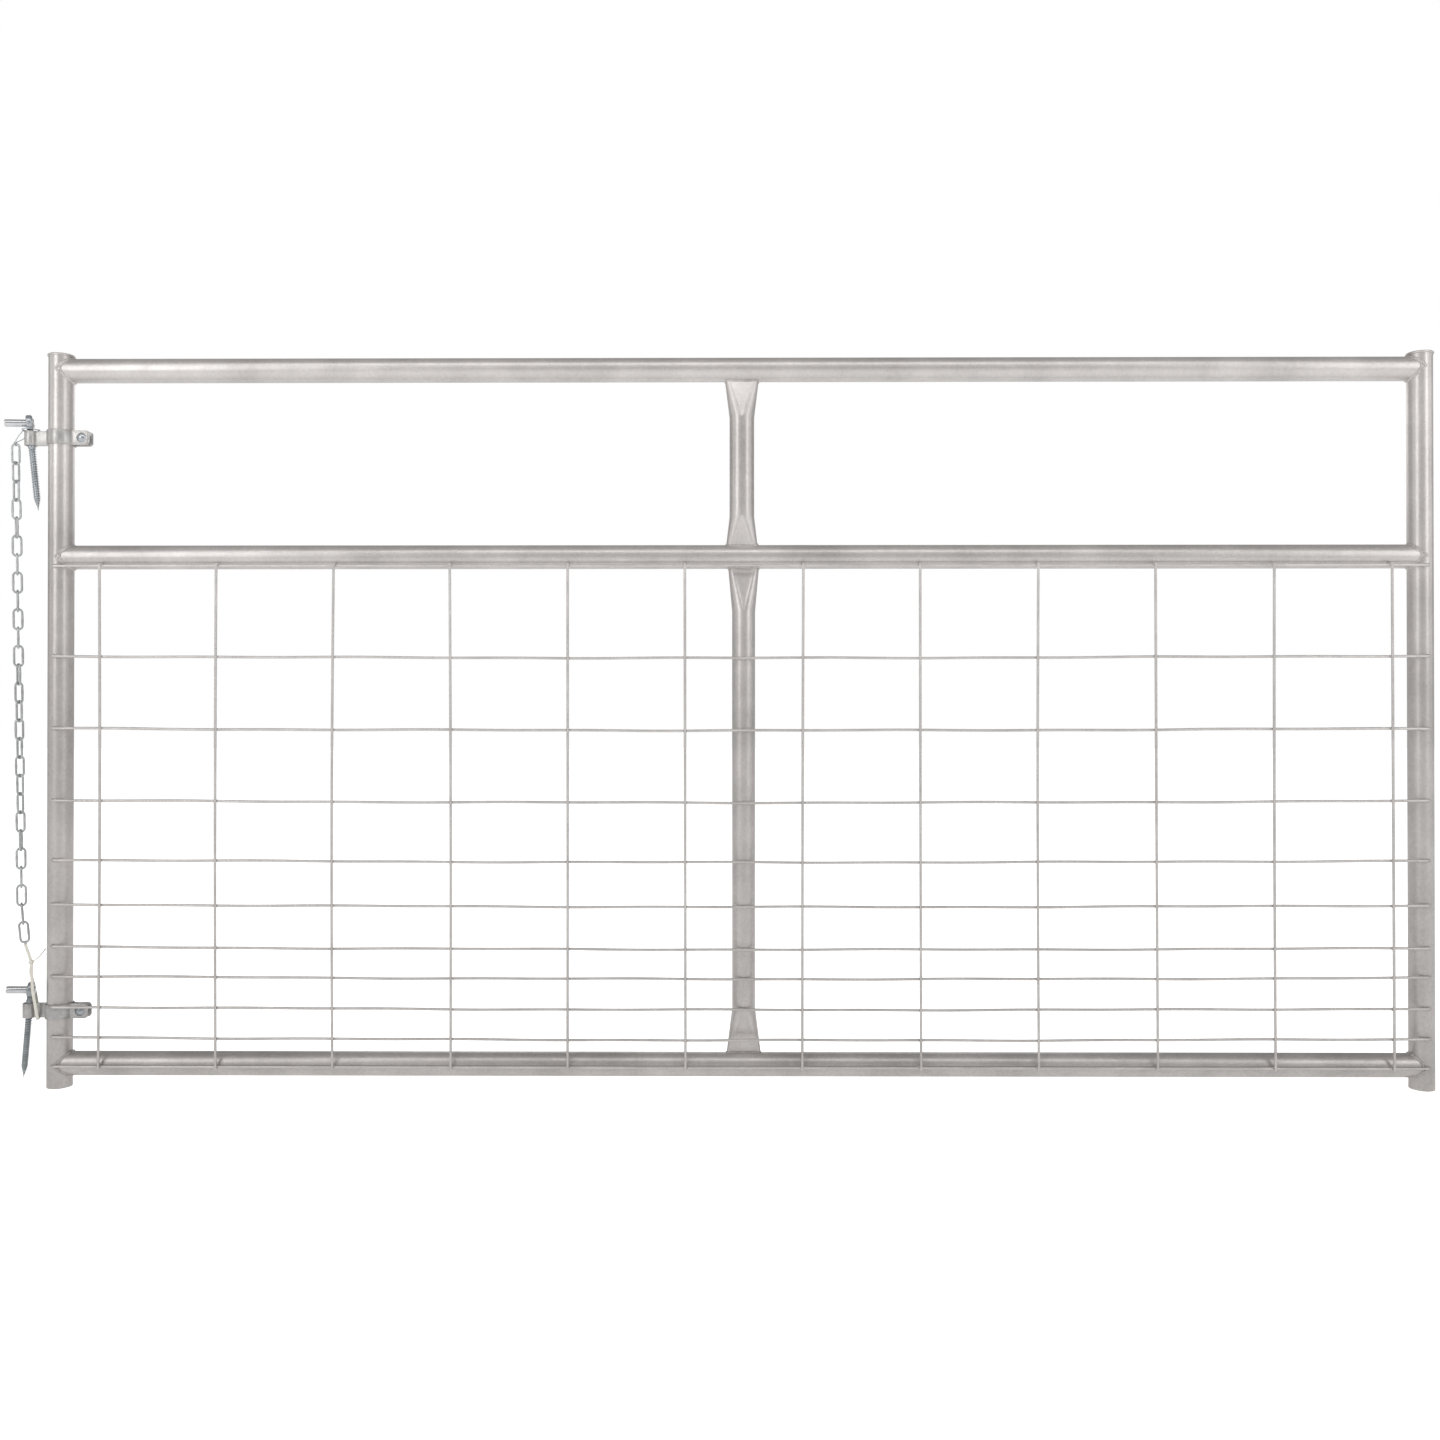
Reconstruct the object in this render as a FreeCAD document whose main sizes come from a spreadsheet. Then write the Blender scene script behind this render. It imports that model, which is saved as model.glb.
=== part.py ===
import FreeCAD, Part
import Sketcher
import math
import os

# Livestock panel gate: a welded tube frame with a graduated wire panel, two bolted hinge
# straps that carry their lag hooks for transport, and a latch chain tied beside the hinge post.
# Millimetres. +X runs from the hinge line to the latch post, +Z is up, -Y faces the wire side.
# The origin is the centre of the lower strap's eye, on the hinge line.

doc = FreeCAD.newDocument("panel_gate")
sheet = doc.addObject("Spreadsheet::Sheet", "Sizes")
UP = FreeCAD.Vector(0, 0, 1)
ALONG = FreeCAD.Vector(1, 0, 0)
ACROSS = FreeCAD.Vector(0, 1, 0)

SIZES = {
    # frame
    "tube_od": 41.3,
    "tube_wall": 1.6,
    "post_spacing": 2365.0,
    "rail_span": 1207.0,
    "window_drop": 326.0,
    "post_below": 40.0,
    "post_above": 25.0,
    "cap_od": 44.6,
    "cap_plug": 8.0,
    "cap_rise": 4.0,
    "cap_wall": 1.4,
    # brace
    "upper_brace_offset": 6.0,
    "upper_brace_width": 43.0,
    "upper_brace_depth": 40.6,
    "lower_brace_offset": 9.0,
    "lower_brace_width": 39.8,
    "lower_brace_depth": 38.6,
    # wire panel
    "wire_dia": 4.5,
    "stay_pitch": 202.0,
    "first_stay": 80.8,
    "stay_past": 3.0,
    "line_past": 2.0,
    "weld_gap": 0.02,
    # hinge straps
    "eye_bore": 15.8,
    "strap_wall": 2.7,
    "strap_high": 25.4,
    "eye_to_post": 53.5,
    "flange_reach": 52.0,
    "flange_gap": 10.0,
    "flange_round": 6.0,
    "ply_slit": 0.4,
    "lower_strap_up": 92.0,
    "upper_strap_down": 118.0,
    "bolt_reach": 38.5,
    "bolt_dia": 8.0,
    "bolt_head": 17.5,
    "bolt_head_high": 4.2,
    "bolt_length": 30.0,
    "nut_flats": 12.7,
    "nut_high": 6.8,
    # lag hooks
    "shank_dia": 12.4,
    "hook_length": 154.0,
    "neck_dia": 9.6,
    "neck_length": 6.0,
    "point_length": 24.0,
    "ring_od": 28.0,
    "ring_thick": 10.5,
    "pin_dia": 12.7,
    "pin_stem": 11.2,
    "pin_reach": 38.5,
    "pin_head": 17.0,
    "pin_head_high": 3.0,
    "press_gap": 0.02,
    "upper_ring_up": 14.3,
    "lower_ring_up": 22.3,
    # chain and its ties
    "link_wire": 3.6,
    "link_width": 16.8,
    "link_inside": 32.4,
    "link_pitch": 32.1,
    "tie_wire": 1.6,
    "tie_loop": 27.2,
    "tie_eyelet": 6.8,
    "strip_wide": 5.0,
    "strip_thick": 1.2,
}
GRADED_GAPS = (50.6, 52.1, 52.8, 50.7, 73.1, 76.7, 102.6, 124.3, 124.7, 156.0)
STAYS = 12
UPPER_TILT = 6.0
LOWER_TILT = -4.6
UPPER_PIN_TURN = 27.0
LOWER_PIN_TURN = 20.0
CHAIN_TOP = FreeCAD.Vector(-26.9, 0.0, 986.0)
CHAIN_LEAN = 0.93
LAST_LEANS = {26: 5.0, 27: 6.0}
FACING = -61.0
TWISTS = ((1, 58.0), (6, 0.0), (12, 0.0), (14, 38.0), (18, 28.0), (23, 90.0), (27, 90.0))
SECTIONS = ((1, 6), (7, 11), (12, 16), (17, 22), (23, 27))

for row, (alias, value) in enumerate(SIZES.items(), start=1):
    sheet.set(f"A{row}", alias)
    sheet.set(f"B{row}", str(value))
    sheet.setAlias(f"B{row}", alias)
doc.recompute()

subparts = []
S = SIZES
TUBE_R = S["tube_od"] / 2
LOWER_RAIL_Z = -S["lower_strap_up"]
TOP_RAIL_Z = LOWER_RAIL_Z + S["rail_span"]
MIDDLE_RAIL_Z = TOP_RAIL_Z - S["window_drop"]
UPPER_EYE_Z = TOP_RAIL_Z - S["upper_strap_down"]
HINGE_POST_X = S["eye_to_post"]

# The same places as expressions on the sheet.
HINGE_X = "Sizes.eye_to_post"
LATCH_X = "(Sizes.eye_to_post + Sizes.post_spacing)"
LOW_Z = "(-Sizes.lower_strap_up)"
TOP_Z = "(Sizes.rail_span - Sizes.lower_strap_up)"
MID_Z = "(Sizes.rail_span - Sizes.lower_strap_up - Sizes.window_drop)"
EYE_Z = "(Sizes.rail_span - Sizes.lower_strap_up - Sizes.upper_strap_down)"
WIRE_Y = "(-(Sizes.tube_od + Sizes.wire_dia) / 2 - Sizes.weld_gap)"
STAY_Y = "(-Sizes.tube_od / 2 - 1.5 * Sizes.wire_dia - 2 * Sizes.weld_gap)"


def bind(item, **rules):
    """Ties properties of one object to the sheet. x, y and z are its place."""
    for prop, rule in rules.items():
        path = f"Placement.Base.{prop}" if prop in "xyz" else prop
        item.setExpression(path, rule)
    return item


def turned(item, rotation):
    item.Placement = FreeCAD.Placement(item.Placement.Base, rotation)
    return item


def rod(name, radius, length, x="0", y="0", z="0", along=UP):
    item = doc.addObject("Part::Cylinder", name)
    turned(item, FreeCAD.Rotation(UP, along))
    return bind(item, Radius=radius, Height=length, x=x, y=y, z=z)


def block(name, length, width, height, x="0", y="0", z="0"):
    item = doc.addObject("Part::Box", name)
    return bind(item, Length=length, Width=width, Height=height, x=x, y=y, z=z)


def joined(name, shapes):
    item = doc.addObject("Part::MultiFuse", name)
    item.Shapes = shapes
    return item


def cut(name, base, tool):
    item = doc.addObject("Part::Cut", name)
    item.Base = base
    item.Tool = tool
    return item


def keep(item, label):
    """Marks an object as a finished sub-part."""
    item.Label = label
    subparts.append(item)
    return item


def post(label, x):
    """An upright tube with the ends open."""
    foot = f"{LOW_Z} - Sizes.post_below"
    tall = "Sizes.rail_span + Sizes.post_below + Sizes.post_above"
    outer = rod(label + "_skin", "Sizes.tube_od / 2", tall, x=x, z=foot)
    inner = rod(label + "_hollow", "Sizes.tube_od / 2 - Sizes.tube_wall", tall, x=x, z=foot)
    return keep(cut(label + "_tube", outer, inner), label)


def rail(label, z):
    """A level tube, coped at both ends to sit on the round of the posts."""
    outer = rod(label + "_skin", "Sizes.tube_od / 2", "Sizes.post_spacing", x=HINGE_X, z=z, along=ALONG)
    bore = "Sizes.tube_od / 2 - Sizes.tube_wall"
    inner = rod(label + "_hollow", bore, "Sizes.post_spacing", x=HINGE_X, z=z, along=ALONG)
    low = f"{z} - Sizes.tube_od"
    left = rod(label + "_cope_1", "Sizes.tube_od / 2", "2 * Sizes.tube_od", x=HINGE_X, z=low)
    right = rod(label + "_cope_2", "Sizes.tube_od / 2", "2 * Sizes.tube_od", x=LATCH_X, z=low)
    return keep(cut(label + "_tube", outer, joined(label + "_removed", [inner, left, right])), label)


def post_cap(label, x):
    """A pressed cap with a plug inside the tube: one closed profile turned about the post's axis."""
    body = doc.addObject("PartDesign::Body", label + "_body")
    plane = next(f for f in body.Origin.OriginFeatures if f.Role == "XZ_Plane")
    sketch = body.newObject("Sketcher::SketchObject", label + "_profile")
    sketch.AttachmentSupport = (plane, [""])
    sketch.MapMode = "FlatFace"
    outer_r = S["cap_od"] / 2
    plug_r = TUBE_R - S["tube_wall"] - 0.05
    plug = S["cap_plug"]
    rise = S["cap_rise"]
    wall = S["cap_wall"]
    points = (
        (0.0, rise), (outer_r * 0.55, rise * 0.92), (outer_r - 1.2, rise * 0.6), (outer_r, 0.9),
        (outer_r, 0.0), (plug_r, 0.0), (plug_r, -plug), (plug_r - wall, -plug), (plug_r - wall, 0.4),
        (plug_r * 0.5, rise - wall - 0.3), (0.0, rise - wall),
    )
    for start, end in zip(points, points[1:] + points[:1]):
        sketch.addGeometry(Part.LineSegment(FreeCAD.Vector(*start, 0), FreeCAD.Vector(*end, 0)), False)
    spin = body.newObject("PartDesign::Revolution", label + "_turned")
    spin.Profile = sketch
    spin.ReferenceAxis = (sketch, ["V_Axis"])
    spin.Angle = 360
    body.Tip = spin
    bind(body, x=x, z=f"{TOP_Z} + Sizes.post_above")
    return keep(body, label)


def slot_section(flat, depth, x, z):
    """A flattened tube's outline: two straight sides of length flat and two half rounds."""
    r = depth / 2
    h = flat / 2
    front_left = FreeCAD.Vector(x - h, -r, z)
    front_right = FreeCAD.Vector(x + h, -r, z)
    back_right = FreeCAD.Vector(x + h, r, z)
    back_left = FreeCAD.Vector(x - h, r, z)
    right_tip = FreeCAD.Vector(x + h + r, 0, z)
    left_tip = FreeCAD.Vector(x - h - r, 0, z)
    return Part.Wire([
        Part.LineSegment(front_left, front_right).toShape(),
        Part.Arc(front_right, right_tip, back_right).toShape(),
        Part.LineSegment(back_right, back_left).toShape(),
        Part.Arc(back_left, left_tip, front_left).toShape(),
    ])


def pressed_tube(x, stations):
    """A tube whose ends are pressed flat: ruled spans between slot-shaped sections."""
    wall = S["tube_wall"]
    skins = []
    for shrink in (0.0, wall):
        spans = []
        for (z1, w1, d1), (z2, w2, d2) in zip(stations, stations[1:]):
            low = slot_section(w1 - d1, d1 - 2 * shrink, x, z1)
            high = slot_section(w2 - d2, d2 - 2 * shrink, x, z2)
            spans.append(Part.makeLoft([low, high], True, True))
        solid = spans[0]
        for span in spans[1:]:
            solid = solid.fuse(span)
        skins.append(solid)
    return skins[0].cut(skins[1])


def brace(label, low_rail_z, high_rail_z, size, foot, head):
    """A centre upright between two rails, cut to sit on the rounds of both.

    size is its sheet name; foot and head are each (width, depth, length of the pressed taper).
    """
    x = HINGE_POST_X + S["post_spacing"] / 2 + S[size + "_offset"]
    body = (S[size + "_width"], S[size + "_depth"])
    low = low_rail_z + TUBE_R - 3.0
    high = high_rail_z - TUBE_R + 3.0
    stations = ((low, *foot[:2]), (low + foot[2], *body), (high - head[2], *body), (high, *head[:2]))
    shape = pressed_tube(x, stations)
    for z in (low_rail_z, high_rail_z):
        seat = Part.makeCylinder(TUBE_R, 200.0, FreeCAD.Vector(x - 100.0, 0, z), ALONG)
        shape = shape.cut(seat)
    item = doc.addObject("Part::Feature", label + "_tube")
    item.Shape = shape.Solids[0]
    item.Placement = FreeCAD.Placement()
    return keep(item, label)


def wire_run(points, radius):
    """A bent wire: straight runs with a ball at each bend."""
    solid = None
    for start, end in zip(points, points[1:]):
        span = end - start
        pieces = [Part.makeCylinder(radius, span.Length, start, span)]
        if start != points[0]:
            pieces.append(Part.makeSphere(radius, start))
        for piece in pieces:
            solid = piece if solid is None else solid.fuse(piece)
    return solid


def line_wire(number, height, over_strap):
    """A level wire across the front of both posts. One of them springs out over the lower strap."""
    label = f"line_wire_{number}"
    z = f"{LOW_Z} + {height}"
    radius = "Sizes.wire_dia / 2"
    if not over_strap:
        long = "Sizes.post_spacing + 2 * Sizes.line_past"
        wire = rod(label + "_rod", radius, long, x=f"{HINGE_X} - Sizes.line_past", y=WIRE_Y, z=z, along=ALONG)
        return keep(wire, label)
    plain_y = -TUBE_R - S["wire_dia"] / 2 - S["weld_gap"]
    lifted_y = plain_y - S["strap_wall"] - 0.25
    low = LOWER_RAIL_Z + height
    first = S["eye_to_post"] - S["line_past"]
    knee = S["eye_to_post"] + 24.0
    heel = S["eye_to_post"] + S["first_stay"] - 6.0
    last = S["eye_to_post"] + S["post_spacing"] + S["line_past"]
    points = [FreeCAD.Vector(x, y, low)
              for x, y in ((first, lifted_y), (knee, lifted_y), (heel, plain_y), (last, plain_y))]
    item = doc.addObject("Part::Feature", label + "_bent")
    item.Shape = wire_run(points, S["wire_dia"] / 2)
    item.Placement = FreeCAD.Placement()
    return keep(item, label)


def stay_wire(number, panel_height):
    """An upright wire in front of the line wires."""
    label = f"stay_wire_{number}"
    x = f"Sizes.eye_to_post + Sizes.first_stay + {number - 1} * Sizes.stay_pitch"
    tall = f"{panel_height} + 2 * Sizes.stay_past"
    wire = rod(label + "_rod", "Sizes.wire_dia / 2", tall, x=x, y=STAY_Y, z=f"{LOW_Z} - Sizes.stay_past")
    return keep(wire, label)


def hinge_strap(label, z):
    """One strap folded round the hook's shank and round the post, with two bolted flanges."""
    high = "Sizes.strap_high"
    base = "-Sizes.strap_high / 2"
    wrap = rod(label + "_wrap", "Sizes.tube_od / 2 + 0.05 + Sizes.strap_wall", high, x=HINGE_X, z=base)
    eye = rod(label + "_roll", "Sizes.eye_bore / 2 + Sizes.strap_wall", high, z=base)
    plies = "2 * Sizes.strap_wall + Sizes.ply_slit"
    neck = block(label + "_neck", "Sizes.eye_to_post", plies, high, y=f"-({plies}) / 2", z=base)
    reach = "Sizes.flange_reach"
    spread = "2 * Sizes.strap_wall + Sizes.flange_gap"
    flanges = block(label + "_flanges", reach, spread, high, x=HINGE_X, y=f"-({spread}) / 2", z=base)
    doc.recompute()
    rounded = doc.addObject("Part::Fillet", label + "_rounded")
    rounded.Base = flanges
    far = S["eye_to_post"] + S["flange_reach"]
    corners = []
    for index, edge in enumerate(flanges.Shape.Edges, start=1):
        ends = [v.Point for v in edge.Vertexes]
        at_end = all(abs(p.x - far) < 0.01 for p in ends)
        along_y = abs(ends[0].z - ends[1].z) < 0.01
        if at_end and along_y:
            corners.append((index, S["flange_round"], S["flange_round"]))
    rounded.Edges = corners
    solid = joined(label + "_blank", [wrap, eye, neck, rounded])
    bore = rod(label + "_bore", "Sizes.eye_bore / 2", high, z=base)
    seat = rod(label + "_seat", "Sizes.tube_od / 2 + 0.05", high, x=HINGE_X, z=base)
    slit = block(label + "_slit", "Sizes.eye_to_post", "Sizes.ply_slit", high, y="-Sizes.ply_slit / 2",
                 z=base)
    mouth = block(label + "_mouth", "Sizes.flange_reach + 1", "Sizes.flange_gap", high, x=HINGE_X,
                  y="-Sizes.flange_gap / 2", z=base)
    bolt_x = f"{HINGE_X} + Sizes.bolt_reach"
    square = "Sizes.bolt_dia + 0.6"
    front = block(label + "_square", square, "Sizes.flange_gap", square, x=f"{bolt_x} - ({square}) / 2",
                  y="-Sizes.flange_gap * 1.5", z=f"-({square}) / 2")
    back = rod(label + "_round_hole", "Sizes.bolt_dia / 2 + 0.3", "Sizes.flange_gap * 1.5", x=bolt_x, y="0",
               along=ACROSS)
    removed = joined(label + "_removed", [bore, seat, slit, mouth, front, back])
    return keep(bind(cut(label + "_strap", solid, removed), z=z), label)


def hinge_bolt(label, z):
    """A carriage bolt with a low round head, a square neck and a plain round shank."""
    face = "(Sizes.flange_gap / 2 + Sizes.strap_wall)"
    bolt_x = f"{HINGE_X} + Sizes.bolt_reach"
    dome_r = (S["bolt_head"] ** 2 / 4 + S["bolt_head_high"] ** 2) / (2 * S["bolt_head_high"])
    ball = doc.addObject("Part::Sphere", label + "_ball")
    bind(ball, Radius=str(dome_r), x=bolt_x, y=f"-{face} - Sizes.bolt_head_high + {dome_r}")
    slab = block(label + "_slab", "2 * Sizes.bolt_head", "2 * Sizes.bolt_head_high", "2 * Sizes.bolt_head",
                 x=f"{bolt_x} - Sizes.bolt_head", y=f"-{face} - 2 * Sizes.bolt_head_high",
                 z="-Sizes.bolt_head")
    head = doc.addObject("Part::Common", label + "_head")
    head.Base = ball
    head.Tool = slab
    side = "Sizes.bolt_dia"
    neck = block(label + "_neck", side, "Sizes.strap_wall + 0.5", side, x=f"{bolt_x} - {side} / 2",
                 y=f"-{face}", z=f"-{side} / 2")
    shank = rod(label + "_shank", "Sizes.bolt_dia / 2", "Sizes.bolt_length", x=bolt_x, y=f"-{face}",
                along=ACROSS)
    return keep(bind(joined(label + "_bolt", [head, neck, shank]), z=z), label)


def hinge_nut(label, z):
    """A hexagon nut: a sketched hexagon with a round hole, padded to its height."""
    body = doc.addObject("PartDesign::Body", label + "_body")
    plane = next(f for f in body.Origin.OriginFeatures if f.Role == "XY_Plane")
    sketch = body.newObject("Sketcher::SketchObject", label + "_outline")
    sketch.AttachmentSupport = (plane, [""])
    sketch.MapMode = "FlatFace"
    corner = S["nut_flats"] / math.sqrt(3)
    points = [FreeCAD.Vector(corner * math.cos(math.radians(a)), corner * math.sin(math.radians(a)), 0)
              for a in range(0, 360, 60)]
    for start, end in zip(points, points[1:] + points[:1]):
        sketch.addGeometry(Part.LineSegment(start, end), False)
    hole_r = S["bolt_dia"] / 2 + S["press_gap"]
    hole = sketch.addGeometry(Part.Circle(FreeCAD.Vector(0, 0, 0), UP, hole_r), False)
    radius = sketch.addConstraint(Sketcher.Constraint("Radius", hole, hole_r))
    sketch.setExpression(f"Constraints[{radius}]", "Sizes.bolt_dia / 2 + Sizes.press_gap")
    pad = body.newObject("PartDesign::Pad", label + "_pad")
    pad.Profile = sketch
    pad.setExpression("Length", "Sizes.nut_high")
    body.Tip = pad
    turned(body, FreeCAD.Rotation(UP, ACROSS))
    bind(body, x=f"{HINGE_X} + Sizes.bolt_reach", y="Sizes.flange_gap / 2 + Sizes.strap_wall", z=z)
    return keep(body, label)


def hook_place(eye_z, tilt, turn):
    """Where a hook hangs: turned about the upright, then tipped in the plane of the gate."""
    turn_it = FreeCAD.Rotation(UP, turn)
    tip_it = FreeCAD.Rotation(ACROSS, -tilt)
    return FreeCAD.Placement(FreeCAD.Vector(0, 0, eye_z), tip_it.multiply(turn_it))


def lag_hook(label, ring_up, place):
    """A lag screw with a forged ring at its head: ring, neck, shank and point on one axis."""
    head_z = f"(Sizes.strap_high / 2 + Sizes.{ring_up})"
    ring = rod(label + "_disc", "Sizes.ring_od / 2", "Sizes.ring_thick", x="-Sizes.ring_thick / 2", z=head_z,
               along=ALONG)
    shank_long = "(Sizes.hook_length - Sizes.ring_od / 2 - Sizes.neck_length - Sizes.point_length)"
    shank_top = f"({head_z} - Sizes.ring_od / 2 - Sizes.neck_length)"
    neck = rod(label + "_neck", "Sizes.neck_dia / 2", "Sizes.neck_length + 4", z=shank_top)
    shank = rod(label + "_shank", "Sizes.shank_dia / 2", shank_long, z=f"{shank_top} - {shank_long}")
    point = doc.addObject("Part::Cone", label + "_point")
    bind(point, Radius1="0.6", Radius2="Sizes.shank_dia / 2", Height="Sizes.point_length",
         z=f"{shank_top} - {shank_long} - Sizes.point_length")
    hole = rod(label + "_hole", "Sizes.pin_stem / 2 + Sizes.press_gap", "Sizes.ring_thick * 2",
               x="-Sizes.ring_thick", z=head_z, along=ALONG)
    hook = cut(label + "_hook", joined(label + "_blank", [ring, neck, shank, point]), hole)
    hook.Placement = place
    return keep(hook, label)


def hook_pin(label, ring_up, place):
    """The hinge pin: its shoulder stands on the ring, and its thinner stem is riveted over behind."""
    head_z = f"(Sizes.strap_high / 2 + Sizes.{ring_up})"
    chamfer = 1.5
    body = rod(label + "_body", "Sizes.pin_dia / 2",
               f"Sizes.pin_reach - {chamfer} - Sizes.ring_thick / 2 - Sizes.press_gap",
               x=f"-Sizes.pin_reach + {chamfer}", z=head_z, along=ALONG)
    stem = rod(label + "_stem", "Sizes.pin_stem / 2", "Sizes.ring_thick + Sizes.press_gap",
               x="-Sizes.ring_thick / 2 - Sizes.press_gap", z=head_z, along=ALONG)
    head = doc.addObject("Part::Cone", label + "_rivet")
    turned(head, FreeCAD.Rotation(UP, ALONG))
    bind(head, Radius1="Sizes.pin_head / 2", Radius2="Sizes.pin_dia / 2 - 1", Height="Sizes.pin_head_high",
         x="Sizes.ring_thick / 2", z=head_z)
    end = doc.addObject("Part::Cone", label + "_end")
    turned(end, FreeCAD.Rotation(UP, ALONG))
    bind(end, Radius1=f"Sizes.pin_dia / 2 - {chamfer}", Radius2="Sizes.pin_dia / 2", Height=str(chamfer),
         x="-Sizes.pin_reach", z=head_z)
    pin = joined(label + "_pin", [body, stem, head, end])
    pin.Placement = place
    return keep(pin, label)


def chain_link():
    """One link: two straight sides and two half rounds, with its long side upright."""
    bend = "(Sizes.link_width - Sizes.link_wire) / 2"
    straight = "(Sizes.link_inside - Sizes.link_width + 2 * Sizes.link_wire)"
    pieces = []
    for side in ("-1", "1"):
        pieces.append(rod(f"link_side_{len(pieces)}", "Sizes.link_wire / 2", straight,
                          x=f"{side} * {bend}", z=f"-{straight} / 2"))
    for end, spin in (("1", 90), ("-1", -90)):
        bow = doc.addObject("Part::Torus", f"link_bow_{len(pieces)}")
        bow.Angle3 = 180
        turned(bow, FreeCAD.Rotation(ALONG, spin))
        pieces.append(bind(bow, Radius1=bend, Radius2="Sizes.link_wire / 2", z=f"{end} * {straight} / 2"))
    return joined("link_pattern", pieces)


def twist_of(number):
    """How far the chain has turned about its own line at one link."""
    for (link_1, turn_1), (link_2, turn_2) in zip(TWISTS, TWISTS[1:]):
        if link_1 <= number <= link_2:
            return turn_1 + (turn_2 - turn_1) * (number - link_1) / (link_2 - link_1)
    return TWISTS[-1][1]


def link_places():
    """For each link from the top down: its place, the crossing point below it, and where it faces."""
    spot = CHAIN_TOP
    places = {}
    for number in range(1, SECTIONS[-1][1] + 1):
        lean = LAST_LEANS.get(number, CHAIN_LEAN)
        down = FreeCAD.Rotation(ACROSS, -lean).multVec(-UP)
        centre = spot + down * (S["link_pitch"] / 2)
        faces = FACING + 90.0 * number + twist_of(number)
        turn = FreeCAD.Rotation(ACROSS, -lean).multiply(FreeCAD.Rotation(UP, faces - 90.0))
        spot = spot + down * S["link_pitch"]
        places[number] = (FreeCAD.Placement(centre, turn), spot, faces)
    return places


def chain_section(number, first, last, pattern, places):
    """A run of links as separate solids in one group."""
    links = []
    for link in range(first, last + 1):
        solid = pattern.copy()
        solid.Placement = places[link][0]
        links.append(solid)
    item = doc.addObject("Part::Feature", f"chain_group_{number}")
    item.Shape = Part.makeCompound(links)
    item.Placement = FreeCAD.Placement()
    return keep(item, f"chain_section_{number}")


def chain_tie(top_link):
    """A tie wire: a loop round the upper hook's ring, and an eyelet round the first link's bow."""
    radius = S["tie_wire"] / 2
    loop_r = S["tie_loop"] / 2
    eyelet_r = S["tie_eyelet"] / 2
    loop_z = UPPER_EYE_Z + S["strap_high"] / 2 + radius + S["press_gap"]
    bow = top_link[0].multVec(UP * ((S["link_inside"] + S["link_wire"]) / 2))
    bow_way = top_link[0].Rotation.multVec(ALONG)
    crown = bow + UP * eyelet_r
    free_end = FreeCAD.Vector(-14.0, 4.0, UPPER_EYE_Z + 1.0)
    shape = wire_run([FreeCAD.Vector(-loop_r, 0, loop_z), crown, free_end], radius)
    shape = shape.fuse(Part.makeTorus(loop_r, radius, FreeCAD.Vector(0, 0, loop_z), UP))
    shape = shape.fuse(Part.makeTorus(eyelet_r, radius, bow, bow_way))
    item = doc.addObject("Part::Feature", "chain_tie_bent")
    item.Shape = shape
    item.Placement = FreeCAD.Placement()
    return keep(item, "chain_tie_wire")


def strip_run(points, wide_along, wide, thick):
    """A flat strip through points: a thin slab on each run, and a round at each bend."""
    solid = None
    half = wide_along * (wide / 2)
    for index, (start, end) in enumerate(zip(points, points[1:])):
        face_off = (end - start).cross(wide_along)
        face_off.normalize()
        off = face_off * (thick / 2)
        corners = [start - half - off, start + half - off, start + half + off, start - half + off]
        face = Part.Face(Part.makePolygon(corners + corners[:1]))
        pieces = [face.extrude(end - start)]
        if index:
            pieces.append(Part.makeCylinder(thick / 2, wide, start - half, wide_along))
        for piece in pieces:
            solid = piece if solid is None else solid.fuse(piece)
    return solid


def cable_tie():
    """A nylon tie from behind the last link, past the lower ring, round the strap's neck."""
    wide_along = FreeCAD.Vector(0.93, 0.05, 0.36)
    wide_along.normalize()
    loop = [FreeCAD.Vector(*p) for p in (
        (-10.6, 5.2, 119.6), (-8.8, 2.6, 112.0), (7.0, -5.0, 85.0), (16.4, -17.0, 35.0), (18.2, -12.0, 10.0),
        (18.5, -5.6, -13.2), (18.0, -3.0, -15.2), (14.5, 3.0, -15.2), (13.5, 5.8, -13.2), (7.5, 12.5, 6.0),
        (-1.0, 17.6, 35.0), (-2.1, 9.0, 62.0), (6.5, -2.0, 83.0),
    )]
    tail = [FreeCAD.Vector(*p) for p in ((7.0, -4.6, 84.5), (12.0, -4.0, 85.5), (20.0, -3.0, 94.0),
                                         (29.7, -2.0, 107.5))]
    shape = strip_run(loop, wide_along, S["strip_wide"], S["strip_thick"])
    shape = shape.fuse(strip_run(tail, ACROSS, S["strip_wide"] * 0.8, S["strip_thick"]))
    shape = shape.fuse(Part.makeBox(7.0, 5.0, 5.0, FreeCAD.Vector(3.5, -6.6, 82.5)))
    item = doc.addObject("Part::Feature", "cable_tie_bent")
    item.Shape = shape
    item.Placement = FreeCAD.Placement()
    return keep(item, "cable_tie")


for post_label, post_x in (("hinge_post", HINGE_X), ("latch_post", LATCH_X)):
    post(post_label, post_x)
    post_cap(post_label + "_cap", post_x)
for rail_label, rail_z in (("top_rail", TOP_Z), ("middle_rail", MID_Z), ("bottom_rail", LOW_Z)):
    rail(rail_label, rail_z)
brace("upper_brace", MIDDLE_RAIL_Z, TOP_RAIL_Z, "upper_brace", (55.0, 16.0, 50.0), (59.0, 14.0, 64.0))
brace("lower_brace", LOWER_RAIL_Z, MIDDLE_RAIL_Z, "lower_brace", (60.0, 5.0, 80.0), (53.5, 14.6, 76.0))

wire_height = 0.0
strap_reach = (S["strap_high"] + S["wire_dia"]) / 2
for wire_number, gap in enumerate((0,) + GRADED_GAPS, start=1):
    wire_height += gap
    crosses = abs(wire_height - S["lower_strap_up"]) < strap_reach
    line_wire(wire_number, wire_height, crosses)
for stay_number in range(1, STAYS + 1):
    stay_wire(stay_number, wire_height)

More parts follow.
